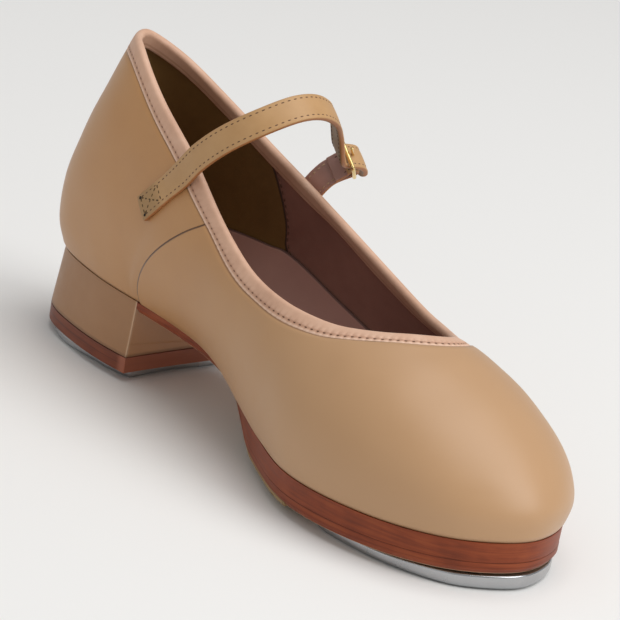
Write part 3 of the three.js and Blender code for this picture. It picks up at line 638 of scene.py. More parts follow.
def makeLining():
    steps = int(60 * mm / lining["rowStep"])
    out = -(outer["thickness"] + 0.05 * mm)
    place, below, points, _ = linedGrid(lambda p: 0 * p, lambda p: skin.length(p) - 1.2 * mm,
                                        out, steps)
    # the seam between the front and the rear lining leans forward towards the foot
    depth = np.clip(below, 0, None) / lining["seamDepth"]
    inner = lining["seamTop"] + lining["seamLean"] * depth ** 1.6
    side = np.minimum(place - inner, lay["rows"] - inner - place) * lining["rowLength"]
    bm = gridMesh(*place.shape)
    placeGrid(bm, points, closed=(True, False), features={"front": side, "below": below},
              flip=True)
    piece = addPiece("lining", bm, liningMaterial(), "upper")
    modify(piece, "SOLIDIFY", thickness=lining["thickness"], offset=-1.0)
    # stitches along the seam, on the front side of it
    bm = bmesh.new()
    deep = np.linspace(6 * mm, 42 * mm, 60)
    lean = lining["seamTop"] + lining["seamLean"] * (deep / lining["seamDepth"]) ** 1.6
    face = out - lining["thickness"]
    for at in (lean + 0.16, lay["rows"] - lean - 0.16):
        line = alongLine(skin.off(at, deep, face), -skin.normal(at, deep), lining["stitchPitch"])
        addStitches(bm, line, lining["stitchLength"], 0.4 * mm, 0.35 * mm)
    addPiece("lining_stitches", bm, threadDark)


def sockHeight(places):  # highest at the waist, as the sock turns up the wall there
    fromBack = np.minimum(places % lay["rows"], lay["rows"] - places % lay["rows"])
    reach = np.where(fromBack < 4.8, 3.2, 2.1)
    return lining["sockRise"] + lining["waistRise"] * np.exp(-((fromBack - 4.8) / reach) ** 2)


def makeSockRim():
    face = -(outer["thickness"] + lining["thickness"] + 0.15 * mm)
    place, below, points, foot = linedGrid(lambda p: 1.2 * mm + 0 * p, sockHeight, face, 14)
    rim = sockHeight(place) - foot
    bm = gridMesh(*place.shape)
    placeGrid(bm, points, closed=(True, False), features={"rim": rim}, flip=True)
    piece = addPiece("sock_rim", bm, mauveSock)
    modify(piece, "SOLIDIFY", thickness=lining["sockThickness"], offset=-1.0)
    return piece


def liningMaterial():
    m = Recipe("liningLeather")
    side = m.onPiece("front")
    front = side.between(-0.1 * mm, 0.1 * mm)
    tone = m.blotches(40, 1.2, 220, 0.6)
    pink = m.blend(paint(140, 97, 85), paint(162, 118, 104), tone)
    brown = m.blend(paint(112, 82, 38), paint(134, 102, 52), tone)
    shade = m.mix(brown, pink, front)
    seam = 1.0 - side.fold().between(0.2 * mm, 0.8 * mm)
    shade = m.mix(shade, paint(52, 34, 28), seam * 0.85)
    m.set(Base_Color=shade, Roughness=m.gloss(0.72, 0.15))
    m.bump(front, 0.5 * mm, 0.6)
    m.bump(m.cells(1300).between(0, 0.6), 0.05 * mm, 0.35)
    return m.material


makeLining()
sockRim = makeSockRim()
print("lining made")

binding = {
    "width": 5.6 * mm, "thickness": 0.7 * mm, "columnStep": 0.03,
    "pucker": 0.14 * mm, "puckerWidth": 1.3 * mm, "trough": 0.12 * mm, "troughWidth": 0.45 * mm,
    "stitchBelow": 3.9 * mm, "stitchOut": 0.28 * mm,
    "stitchPitch": 2.35 * mm, "stitchLength": 1.75 * mm,
    "color": paint(211, 169, 142), "deep": paint(164, 116, 90), "light": paint(230, 196, 172),
}


def collarRun(count=3000):  # the line of the stitches, and a pitch that divides it evenly
    place = np.linspace(0, lay["rows"], count + 1)
    line = skin.off(place, binding["stitchBelow"], binding["stitchOut"])
    run = runAlong(line)
    return place, line, run, run[-1] / round(run[-1] / binding["stitchPitch"])


def puckerShare(place):  # strongest where the collar bends round the throat
    front = np.exp(-((place - 11) / 3.6) ** 2)
    back = 0.35 * np.exp(-(((place + 11) % 22 - 11) / 2.0) ** 2)
    return np.clip(0.5 + front + back, 0, 1)


def bindingSection():
    outFace = -lay["edgeSkive"] + 0.3 * mm
    inFace = -lay["wall"]
    outSkin = outFace + binding["thickness"]
    inSkin = inFace - binding["thickness"]
    middle, half = (outSkin + inSkin) / 2, (outSkin - inSkin) / 2
    width = binding["width"]
    fold = []
    for k in range(13):
        angle = math.pi * k / 12
        fold.append((0.6 * mm - 1.6 * mm * math.sin(angle), middle + half * math.cos(angle)))
    legOut = [(width, outFace), (width, outSkin - 0.25 * mm), (width - 0.2 * mm, outSkin),
              (width - 0.7 * mm, outSkin + 0.05 * mm)]
    for share in (0.72, 0.62, 0.52, 0.42, 0.32, 0.22):
        legOut.append((width * share, outSkin + 0.04 * mm))
    legIn = [(width * share, inSkin) for share in (0.22, 0.42, 0.62, 0.82)]
    legIn += [(width - 0.2 * mm, inSkin), (width, inSkin + 0.25 * mm), (width, inFace)]
    return legOut + fold + legIn + [(0.3 * mm, inFace), (0.3 * mm, outFace), (width, outFace)]


def bindingMaterial():
    m = Recipe("bindingLeather")
    below = m.onPiece("below")
    width = binding["width"]
    shade = m.mottled(binding["color"], binding["deep"], binding["light"],
                      m.blotches(60, 1.0, 380, 0.5))
    # painted shade in the groove along the stitch row
    grooveShade = 1.0 - (below - binding["stitchBelow"]).fold().between(0.1 * mm, 0.7 * mm)
    shade = m.mix(shade, binding["deep"], grooveShade * 0.55)
    # painted highlight on the rolled lower border of the leg
    borderHighlight = 1.0 - (below - (width - 0.6 * mm)).fold().between(0.1 * mm, 0.45 * mm)
    shade = m.mix(shade, binding["light"], borderHighlight * m.onPiece("leg") * 0.8)
    # painted shade in the hollows of the puckers
    shade = m.mix(shade, binding["deep"], (0.0 - m.onPiece("gatherShade")).clamped() * 0.5)
    # painted shade: a dark line at the lower edge, where the binding lies on the vamp
    contactShade = below.between(width - 0.22 * mm, width - 0.08 * mm)
    shade = m.mix(shade, paint(92, 60, 46), contactShade)
    m.set(Base_Color=shade, Roughness=m.gloss(0.5, 0.15))
    m.grain(0.2)
    return m.material


def makeBinding():
    section = np.array(bindingSection())
    columns = int(lay["rows"] / binding["columnStep"])
    places = np.linspace(0, lay["rows"], columns + 1)
    allPlaces, _, run, pitch = collarRun()
    at = np.interp(places, allPlaces, run)
    place = places[:, None] + 0 * section[None, :, 0]
    below = section[None, :, 0] + 0 * place
    out = section[None, :, 1] + 0 * place
    wave = np.cos(at / pitch * 2 * math.pi)
    ripple = (wave * puckerShare(places))[:, None] * binding["pucker"]
    fromStitches = below - binding["stitchBelow"]
    leg = np.exp(-(fromStitches / binding["puckerWidth"]) ** 2)
    outward = out > -0.2 * mm
    out = out + ripple * leg * outward
    trough = np.exp(-(fromStitches / binding["troughWidth"]) ** 2) * outward
    out = out - binding["trough"] * trough
    points = skin.off(place, below, out)
    bm = gridMesh(len(places), len(section))
    features = {"below": below, "leg": np.where(outward, 1.0, 0.0),
                "gatherShade": ripple * leg * outward / binding["pucker"]}
    placeGrid(bm, points, closed=(True, True), features=features)
    addPiece("binding", bm, bindingMaterial(), "collar_binding", turnOut=True)


def collarStitches():
    place, points, _, pitch = collarRun()
    line = alongLine(points, skin.normal(place, binding["stitchBelow"]), pitch)
    bm = bmesh.new()
    addStitches(bm, line, binding["stitchLength"], 0.55 * mm, 0.45 * mm)
    addPiece("collar_stitches", bm, threadDark)


makeBinding()
collarStitches()
print("binding made")

soleStack = {
    "lift": 0.25 * mm,  # the layers are drawn closer together than in the CAD model
    "edge": paint(134, 60, 29), "deep": paint(80, 31, 13), "light": paint(166, 86, 46),
    "nude": paint(206, 170, 140), "nudeDeep": paint(184, 146, 116),
    "outsole": 3.5 * mm, "chamfer": 1.4 * mm, "liftThickness": 5.3 * mm, "soften": 0.3 * mm,
    "heelSoften": 0.6 * mm, "platformSoften": 0.2 * mm, "heelFront": 12 * mm,
}


def plateFromTop(node, thickness, chamfer, material, raised=0.0):
    bm = mergedCopy(node)
    quads(bm)
    low = [f for f in bm.faces if f.normal.z < 0.5]
    bmesh.ops.delete(bm, geom=low, context="FACES")
    bmesh.ops.delete(bm, geom=[v for v in bm.verts if not v.link_faces], context="VERTS")
    bmesh.ops.translate(bm, verts=bm.verts, vec=Vector((0, 0, raised)))
    drop = bm.verts.layers.float.new("drop")
    rim = bm.verts.layers.float.new("rim")
    moved = bmesh.ops.extrude_face_region(bm, geom=bm.faces[:])
    fresh = [g for g in moved["geom"] if isinstance(g, bmesh.types.BMVert)]
    bottom = [g for g in moved["geom"] if isinstance(g, bmesh.types.BMFace)]
    bmesh.ops.translate(bm, verts=fresh, vec=Vector((0, 0, chamfer - thickness)))
    bmesh.ops.recalc_face_normals(bm, faces=bm.faces)
    for vert in fresh:
        vert[drop] = thickness - chamfer
    if chamfer:
        bmesh.ops.inset_region(bm, faces=bottom, thickness=0.75 * chamfer, depth=chamfer,
                               use_even_offset=True)
        for vert in {v for f in bottom for v in f.verts}:
            vert[drop] = thickness
    inside = {v for f in bottom for v in f.verts}
    for vert in inside:
        vert[rim] = 0.0 if any(f not in bottom for f in vert.link_faces) else 1.0
    creaseSharp(bm, 25)
    rounded(addPiece(node + "_soft", bm, material, node), 3, soleStack["soften"])


def outsoleMaterial():
    look = soleStack
    m = edgeLeather("outsoleLeather", look["edge"], look["deep"], look["light"],
                    layers=((0.0, 0.35 * mm, 0.5), (1.6 * mm, 0.25 * mm, 0.35)))
    stained = m.painted()
    nude = m.mix(look["nude"], look["nudeDeep"], m.noise(70, 4))
    scuff = m.noise(1.0, 3, m.stretched(30, 260, 260), 0.7).between(0.58, 0.75)
    nude = m.mix(nude, paint(150, 116, 90), scuff * 0.3)
    under = m.onPiece("drop").between(look["outsole"] - 0.25 * mm, look["outsole"] - 0.05 * mm)
    m.set(Base_Color=m.mix(stained, nude, under))
    return m.material


def padMaterial():
    m = Recipe("padRubber")
    x, y = m.along("X"), m.along("Y")
    weave = (x * 3600).sine() * (y * 3600).sine()
    worn = m.noise(45, 4).between(0.3, 0.9)
    m.set(Base_Color=m.mix(paint(168, 142, 102), paint(148, 122, 84), worn))
    m.set(Roughness=0.78 + (m.noise(400, 2) - 0.5) * 0.2)
    m.bump(weave, 0.16 * mm, 0.6)
    return m.material


def heelMaterial():
    m = Recipe("heelCover")
    shade = m.mottled(paint(164, 119, 79), paint(140, 97, 60), paint(176, 132, 92),
                      m.blotches(25, 1.2, 160, 0.5))
    # painted light: the breast, which lies in shade, is painted lighter
    breast = m.onPiece("breast").between(0.93, 1.0)
    shade = m.mix(shade, paint(204, 152, 110), breast * 0.75)
    # painted highlight along the upright corners near the front
    cornerHighlight = m.onPiece("cornerHighlight").between(0.86, 1.0)
    shade = m.mix(shade, paint(212, 178, 144), cornerHighlight * 0.75)
    # painted shade: darker towards the bottom, where the block sits on the lift
    low = 1.0 - m.along("Z").between(9.1 * mm, 10.2 * mm)
    shade = m.mix(shade, paint(112, 72, 46), low * 0.6)
    m.set(Base_Color=shade, Roughness=m.gloss(0.42, 0.14))
    fold = (m.along("Z") + m.along("Y") * 0.06 - 11.6 * mm).fold().between(0.0, 0.5 * mm)
    m.bump(fold * breast, 0.25 * mm, 0.5)
    m.grain(0.15)
    return m.material


def makeHeel():
    bm = mergedCopy("heel_block")
    quads(bm)
    creaseSharp(bm, 50)
    cornerHighlight = bm.verts.layers.float.new("cornerHighlight")
    breast = bm.verts.layers.float.new("breast")
    for face in bm.faces:
        if face.normal.x > 0.8:
            for vert in face.verts:
                vert[breast] = 1.0
    front = max(v.co.x for v in bm.verts)
    for edge in bm.edges:
        upright = abs((edge.verts[0].co - edge.verts[1].co).normalized().z) > 0.8
        if upright and edge.calc_face_angle(0) > math.radians(50):
            for vert in edge.verts:
                vert[cornerHighlight] = 1.0 if vert.co.x > front - soleStack["heelFront"] else 0.0
    piece = addPiece("heel_block_soft", bm, heelMaterial(), "heel_block")
    rounded(piece, 3, soleStack["heelSoften"], 40)


def liftMaterial():
    look = soleStack
    m = edgeLeather("heelLiftLeather", paint(122, 62, 40), paint(78, 36, 26), paint(150, 86, 58),
                    layers=((0.0, 0.4 * mm, 0.6), (2.6 * mm, 0.3 * mm, 0.5)))
    # painted light: the lift's front face, which lies in shade, is painted lighter
    front = m.along("X").between(-61 * mm, -58 * mm)
    shade = m.mix(m.painted(), paint(168, 102, 78), front * 0.8)
    flat = m.onPiece("drop").between(look["liftThickness"] - 0.2 * mm,
                                     look["liftThickness"] - 0.02 * mm)
    nude = m.mix(paint(176, 128, 96), paint(140, 92, 64), m.noise(80, 4))
    shade = m.mix(shade, nude, flat * m.onPiece("rim").between(0.0, 0.3))
    m.set(Base_Color=shade)
    return m.material


def makeSock():  # the sock's edge is carried out until it meets its rim on the wall
    wall = BVHTree.FromPolygons([v.co for v in sockRim.data.vertices],
                                [p.vertices[:] for p in sockRim.data.polygons])
    bm = mergedCopy("insole")
    quads(bm)
    bm.normal_update()
    moves = []
    for vert in bm.verts:
        aside = Vector((vert.normal.x, vert.normal.y, 0))
        if aside.length > 0.25:  # on the rim
            aside.normalize()
            hit, _, _, far = wall.ray_cast(vert.co, aside, lining["sockReach"])
            if hit:
                moves.append((vert, aside * (far - lining["sockGap"])))
    for vert, move in moves:
        vert.co += move
    creaseSharp(bm, 35)
    rounded(addPiece("insole_soft", bm, mauveSock, "insole"), 2)
    print("sock carried out at %d points" % len(moves))


makeSock()
platform = edgeLeather("platformLeather", soleStack["edge"], soleStack["deep"],
                       soleStack["light"])
smoothed("forepart_platform", platform.material, 3, soleStack["platformSoften"])
plateFromTop("outsole", soleStack["outsole"], soleStack["chamfer"],
             outsoleMaterial(), raised=soleStack["lift"])
smoothed("rubber_pad", padMaterial(), 0)
makeHeel()
plateFromTop("heel_lift", soleStack["liftThickness"], 0.0, liftMaterial())
print("sole and heel made")

# Taps: a smooth outline read off the CAD rim, a rounded edge and real countersunk holes
tap = {
    "thickness": 3 * mm, "edge": 1.3 * mm, "highLoop": 2.61 * mm, "topEdge": 0.5 * mm,
    "outline": 180,
    "hole": 3.4 * mm, "mouth": 3.9 * mm, "bore": 1.8 * mm, "ring": 40,
    "metal": (0.48, 0.49, 0.5, 1), "roughness": 0.24,
}


def closedThrough(values, count):
    control = controlPoints(values)
    n = len(values)
    at = np.linspace(0, n, count, endpoint=False)
    k = at.astype(int)
    weights = cubicWeights((at - k)[:, None])
    return sum(w * control[(k + step - 1) % n] for step, w in enumerate(weights))


def tapOutline(node, screws):  # the two widest loops lie one over the other
    bm = mergedCopy(node)
    spots = {}
    for vert in bm.verts:
        key = (round(vert.co.x / mm, 2), round(vert.co.y / mm, 2))
        spots.setdefault(key, []).append(vert.co.copy())
    bm.free()
    centres = [sum(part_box(name), Vector()) / 2 for name in screws]
    pairs = [sorted(v, key=lambda p: p.z) for v in spots.values() if len(v) > 1]
    pairs = [v for v in pairs if min((v[0] - c).xy.length for c in centres) > 5 * mm]
    middle = sum((v[0] for v in pairs), Vector()) / len(pairs)
    pairs.sort(key=lambda v: math.atan2(v[0].y - middle.y, v[0].x - middle.x))
    table = np.array([[v[0].x, v[0].y, v[0].z, v[-1].z] for v in pairs])
    return closedThrough(table, tap["outline"])


def makeTap(node, screws, material):
    rim = tapOutline(node, screws)
    ahead = unit(np.roll(rim[:, :2], -1, 0) - np.roll(rim[:, :2], 1, 0))
    inward = np.stack([-ahead[:, 1], ahead[:, 0]], 1)
    soft, top, thick = tap["edge"], tap["topEdge"], tap["thickness"]
    section = [(top, thick)]
    for k in range(1, 5):
        angle = math.radians(90 - 22.5 * k)
        section.append((top - top * math.cos(angle), thick - top + top * math.sin(angle)))
    for k in range(9):
        angle = math.radians(90 * k / 8)
        section.append((soft - soft * math.cos(angle), soft - soft * math.sin(angle)))
    points = np.zeros((len(rim) + 1, len(section), 3))
    for j, (inset, up) in enumerate(section):
        climb = (up - soft) / (tap["highLoop"] - soft)
        height = rim[:, 2] + (rim[:, 3] - rim[:, 2]) * climb
        ringPoints = np.column_stack([rim[:, :2] + inward * inset, height])
        points[:-1, j] = ringPoints
        points[-1, j] = ringPoints[0]
    bm = gridMesh(len(rim) + 1, len(section))
    placeGrid(bm, points, closed=(True, False))
    edges = [e for e in bm.edges if e.is_boundary]
    upper = [e for e in edges if e.verts[0].co.z > thick / 2]
    lower = [e for e in edges if e.verts[0].co.z <= thick / 2]
    bmesh.ops.holes_fill(bm, edges=upper, sides=0)
    for name in screws:
        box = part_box(name)
        centre = (box[0] + box[1]) / 2
        level = box[0].z - 0.2 * mm
        rings = []
        for radius, up in ((tap["mouth"], 0.0), (tap["hole"], 0.3 * mm), (tap["hole"], 0.7 * mm),
                           (tap["bore"], 2.3 * mm)):
            spot = Matrix.Translation((centre.x, centre.y, level + up))
            made = bmesh.ops.create_circle(bm, segments=tap["ring"], radius=radius, matrix=spot)
            rings.append(list({e for v in made["verts"] for e in v.link_edges}))
        for first, second in zip(rings, rings[1:]):
            bmesh.ops.bridge_loops(bm, edges=first + second)
        bmesh.ops.holes_fill(bm, edges=rings[-1], sides=0)
        lower += rings[0]
    bmesh.ops.triangle_fill(bm, edges=lower, use_beauty=True)
    piece = addPiece(node + "_plate", bm, material, node, turnOut=True)
    piece.data.set_sharp_from_angle(angle=math.radians(35))


tapMetal = brushedMetal("tapMetal", tap["metal"], tap["roughness"], (60, 1400, 60)).material
for side in ("toe", "heel"):
    makeTap(f"{side}_tap", [f"{side}_tap_screw_{k}" for k in (1, 2, 3)], tapMetal)
print("taps made")

# Screws: a round countersunk head with a cross recess
screw = {
    "head": 3.1 * mm, "rim": 0.35 * mm, "shank": 1.5 * mm, "crossHalf": 1.9 * mm,
    "crossWidth": 0.42 * mm, "crossDepth": 1.1 * mm, "metal": (0.6, 0.57, 0.5, 1),
}


def makeScrew(node, material, turn):
    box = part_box(node)
    centre = (box[0] + box[1]) / 2
    face, tip = box[0].z, box[1].z
    radii = np.linspace(0, screw["head"] - screw["rim"], 26)
    profile = [(r, 0.0) for r in radii]
    for k in range(1, 5):
        angle = math.radians(22.5 * k)
        profile.append((screw["head"] - screw["rim"] * (1 - math.sin(angle)),
                        screw["rim"] * (1 - math.cos(angle))))
    profile += [(screw["shank"], 1.9 * mm), (screw["shank"], tip - face - 1 * mm),
                (screw["shank"] * 0.4, tip - face), (0.0, tip - face)]
    angles = np.linspace(0, 2 * math.pi, 97)
    radius = np.array([p[0] for p in profile])[None, :] + 0 * angles[:, None]
    up = np.array([p[1] for p in profile])[None, :] + 0 * angles[:, None]
    x = radius * np.cos(angles)[:, None]
    y = radius * np.sin(angles)[:, None]
    a, b = np.abs(x), np.abs(y)
    near = np.minimum(a, b) - screw["crossWidth"]
    far = np.maximum(a, b) - screw["crossHalf"]
    deep = np.clip(-np.maximum(near, far) / (0.22 * mm) + 0.5, 0, 1)
    deep = deep * (1 - 0.55 * np.maximum(a, b) / screw["crossHalf"])
    up = up + screw["crossDepth"] * deep * (up < 0.01 * mm)
    cos, sin = math.cos(turn), math.sin(turn)
    points = np.stack([centre.x + x * cos - y * sin, centre.y + x * sin + y * cos, face + up], -1)
    bm = gridMesh(*radius.shape)
    placeGrid(bm, points, closed=(True, True), features={"deep": deep})
    piece = addPiece(node + "_head", bm, material, node, turnOut=True)
    piece.data.set_sharp_from_angle(angle=math.radians(40))


def screwMaterial():
    m = brushedMetal("screwMetal", screw["metal"], 0.3, (500, 500, 500), 0.15)
    deep = m.onPiece("deep").between(0.1, 0.8)
    m.set(Base_Color=m.mix(m.painted(), paint(60, 52, 38), deep))
    return m.material


screwLook = screwMaterial()
for k in (1, 2, 3):
    makeScrew(f"toe_tap_screw_{k}", screwLook, 0.5 + 0.6 * k)
    makeScrew(f"heel_tap_screw_{k}", screwLook, 0.2 + 0.4 * k)
print("screws made")

buckle = {
    "hinge": inShoe(0.363, 0.833, 0.763), "reach": 9.5 * mm,
    "wire": 0.8 * mm, "metal": (0.82, 0.6, 0.25, 1),
    "across": unit(np.array([0.74, 0.0, -0.67])),
}
up = np.array([0.5, -0.66, 0.55])
up = unit(up - buckle["across"] * (up @ buckle["across"]))
buckle["up"] = up
buckle["out"] = np.cross(up, buckle["across"])

strap = {
    "width": 9.2 * mm, "thickness": 1.8 * mm, "crown": 0.15 * mm, "edge": 0.5 * mm,
    "stitchInset": 1.45 * mm, "stitchPitch": 2.2 * mm, "stitchLength": 1.65 * mm,
    "loopThickness": 1.2 * mm, "loopEnd": 4.2 * mm, "boxLength": 10.5 * mm, "tip": 5 * mm,
    "stitchesFrom": 1.6 * mm,
}
strapFeet = [(0.268, 0.578), (0.289, 0.625), (0.31, 0.675)]  # x and z on the inner quarter
shortFeet = [(0.295, 0.548), (0.313, 0.603)]  # x and z on the outer quarter
arch = [  # free part of the strap
    (0.333, -0.645, 0.737), (0.362, -0.65, 0.81), (0.4, -0.6, 0.893), (0.434, -0.45, 0.966),
    (0.45, -0.2, 1.014), (0.449, 0.0, 1.016), (0.435, 0.22, 0.983), (0.409, 0.42, 0.92),
]


def onSide(outerSide, x, z):  # where on the skin a side has this x and z
    low, high = (11, 22) if outerSide else (0, 11)
    place, below = np.meshgrid(np.linspace(low, high, 331), np.linspace(0, 70 * mm, 211),
                               indexing="ij")
    point = skin.point(place, below)
    miss = np.hypot(point[..., 0] - x, point[..., 2] - z)
    i, j = np.unravel_index(np.argmin(miss), miss.shape)
    return place[i, j], below[i, j]


def sewnStops(outerSide, feet, thickness):
    stops = []
    for x, z in feet:
        spot = inShoe(x, 0, z)
        place, below = onSide(outerSide, spot[0], spot[2])
        stops.append((skin.off(place, below, 0.3 * mm + thickness / 2),
                      skin.normal(place, below)))
    points = [p for p, _ in stops]
    result = []
    for k, (point, face) in enumerate(stops):
        along = points[k] - points[k - 1] if k else points[1] - points[0]
        across = unit(np.cross(face, along))
        if across @ buckle["across"] < 0:
            across = -across
        result.append((point, across))
    return result


def atBuckle(up, out):
    return buckle["hinge"] + buckle["up"] * up + buckle["out"] * out


def bandLine(stops, count, out):  # centre line, directions across and off it, width shares
    centre = centripetal(np.array([s[0] for s in stops]), count)
    spot = np.linspace(0, len(stops) - 1, count)
    across = pick(spot, range(len(stops)), np.array([s[1] for s in stops]))
    along = unit(np.gradient(centre, axis=0))
    across = unit(across - along * (across * along).sum(1, keepdims=True))
    share = np.where(np.arange(count) < 3, 0.9 + 0.05 * np.arange(count), 1)
    return centre, across, unit(np.cross(along, across)) * out, share


def centripetal(points, count):
    n = len(points)
    padded = withEnds(points)
    gaps = np.sqrt(np.linalg.norm(np.diff(padded, axis=0), axis=1))
    result = []
    for at in np.linspace(0, n - 1, count):
        k = min(int(at), n - 2)
        t = at - k
        p0, p1, p2, p3 = padded[k : k + 4]
        d0, d1, d2 = gaps[k : k + 3]
        m1 = ((p1 - p0) / d0 - (p2 - p0) / (d0 + d1) + (p2 - p1) / d1) * d1
        m2 = ((p2 - p1) / d1 - (p3 - p1) / (d1 + d2) + (p3 - p2) / d2) * d1
        h = (2 * t ** 3 - 3 * t ** 2 + 1, t ** 3 - 2 * t ** 2 + t, -2 * t ** 3 + 3 * t ** 2,
             t ** 3 - t ** 2)
        result.append(h[0] * p1 + h[1] * m1 + h[2] * p2 + h[3] * m2)
    return np.array(result)


def bandSection(width, thickness):  # rounded edges, a slight crown between the stitch rows
    half, deep, edge = width / 2, thickness / 2, strap["edge"]
    line = []
    for side in (1, -1):
        for share in np.linspace(1, -1, 15):
            a = side * share * (half - edge)
            trough = np.exp(-((abs(a) - (half - strap["stitchInset"])) / (0.5 * mm)) ** 2)
            rise = strap["crown"] * (1 - (a / half) ** 2) * (side > 0)
            line.append((a, side * (deep - 0.12 * mm * trough) + rise))
        for turn in (30, 60, 90, 120, 150):
            angle = math.radians(turn)
            line.append((-side * (half - edge + edge * math.sin(angle)),
                         side * deep * math.cos(angle)))
    return np.array(line + line[:1])


def makeBand(name, stops, thickness, count, node, material, out, roundTip=False, turned=0.0):
    centre, across, face, share = bandLine(stops, count, out)
    section = bandSection(strap["width"], thickness)
    run = runAlong(centre)
    if roundTip:
        left = np.minimum((run[-1] - run) / strap["tip"], 1)
        share = np.sqrt(np.clip(1 - (1 - left) ** 2, 0.02, 1))
    points = (centre[:, None] + across[:, None] * (section[None, :, :1] * share[:, None, None])
              + face[:, None] * section[None, :, 1:])
    inner = np.where(section[:, 1] < -0.3 * thickness, 1.0, 0.0)[None, :] + 0 * share[:, None]
    side = np.abs(section[:, 0])[None, :] / (strap["width"] / 2) + 0 * share[:, None]
    inner = np.where((run[-1] - run < turned)[:, None], 1.0, inner)
    sewn = np.clip(1 - (run / strap["boxLength"]) ** 6, 0, 1)[:, None] + 0 * side
    bm = gridMesh(*points.shape[:2])
    features = {"lining": inner, "side": side, "sewn": sewn}
    placeGrid(bm, points, closed=(False, True), features=features)
    ends = [e for e in bm.edges if e.is_boundary]
    bmesh.ops.holes_fill(bm, edges=ends, sides=0)
    addPiece(name, bm, material, node, turnOut=True)
    return centre, across, face


def strapMaterial(name, lined, linedLight):
    m = Recipe(name)
    tone = m.blotches(60, 1.2, 300, 0.6)
    top = m.blend(paint(176, 134, 86), paint(194, 153, 106), tone)
    top = m.mix(top, paint(140, 108, 62), m.onPiece("sewn") * 0.55)
    raw = m.blend(paint(150, 92, 48), paint(176, 116, 66), tone)
    under = m.blend(lined, linedLight, tone)
    side = m.onPiece("side").between(0.93, 0.985)
    shade = m.mix(top, under, m.onPiece("lining").between(0.3, 0.7))
    shade = m.mix(shade, raw, side)
    m.set(Base_Color=shade, Roughness=m.gloss(0.5, 0.15))
    m.grain(0.15)
    return m.material


def instepStops():
    stops = sewnStops(False, strapFeet, strap["thickness"])
    stops += [(inShoe(*row), buckle["across"]) for row in arch]
    deep = strap["thickness"] / 2
    under = 0.5 * mm - buckle["wire"] - 0.3 * mm - deep
    over = buckle["wire"] + 0.6 * mm + strap["loopThickness"] + deep
    reach = buckle["reach"]
    tail = [(reach + 3 * mm, under - 0.4 * mm), (reach, under - 0.2 * mm),
            (reach * 0.62, under * 0.3 + over * 0.25), (0.6 * mm, over + 0.2 * mm),
            (-4 * mm, over + 0.6 * mm), (-7.5 * mm, over - 0.2 * mm),
            (-9.5 * mm, over - 1.2 * mm)]
    return stops + [(atBuckle(a, b), buckle["across"]) for a, b in tail]


def shortStops():
    stops = sewnStops(True, shortFeet, strap["loopThickness"])
    stops.append((inShoe(0.343, 0.745, 0.715), buckle["across"]))
    turn = buckle["wire"] + 0.4 * mm + strap["loopThickness"] / 2
    for degrees in range(-90, 151, 30):
        angle = math.radians(degrees)
        stops.append((atBuckle(turn * math.sin(angle), turn * math.cos(angle)),
                      buckle["across"]))
    stops.append((atBuckle(-0.5 * turn, -turn - strap["loopEnd"]), buckle["across"]))
    return stops


strapTan = strapMaterial("strapLeather", paint(126, 96, 56), paint(154, 120, 76))
shortTan = strapMaterial("shortStrapLeather", paint(146, 108, 98), paint(176, 136, 124))
instepLine = makeBand("strap", instepStops(), strap["thickness"], 240, "instep_strap",
                      strapTan, -1, roundTip=True)
shortLine = makeBand("short_strap", shortStops(), strap["loopThickness"], 140, "buckle_strap",
                     shortTan, 1, turned=5.5 * mm)
for band, line in (("instep strap", instepLine), ("short strap", shortLine)):
    print("%s %.0f mm along its middle" % (band, runAlong(line[0])[-1] / mm))


def along(line, inset, start, end, lift):  # a run of points along a band, by its length
    run = runAlong(line[0])
    end = end if end > 0 else run[-1] + end
    at = np.linspace(start, end, 160)
    inset = np.linspace(*inset, 160)[:, None] if isinstance(inset, tuple) else inset
    centre, across, face = (pick(at, run, v) for v in line)
    return centre + across * inset + face * lift, face * np.sign(lift)


def sewBand(name, line, thickness, rows, sides, material):
    bm = bmesh.new()
    for inset, start, end in rows:
        for side in sides:
            lift = side * (thickness / 2 - 0.02 * mm)
            points, face = along(line, inset, start, end, lift)
            stitches = alongLine(points, face, strap["stitchPitch"])
            addStitches(bm, stitches, strap["stitchLength"], 0.62 * mm, 0.45 * mm)
    addPiece(name, bm, material)


def acrossBand(line, at, half, lift):
    points, face = along(line, 0.0, at, at + 0.1 * mm, lift)
    side = along(line, 1.0 * mm, at, at + 0.1 * mm, lift)[0][0] - points[0]
    share = np.linspace(-half, half, 60)[:, None]
    return points[0] + side / (1 * mm) * share, np.repeat(face[:1], 60, 0)


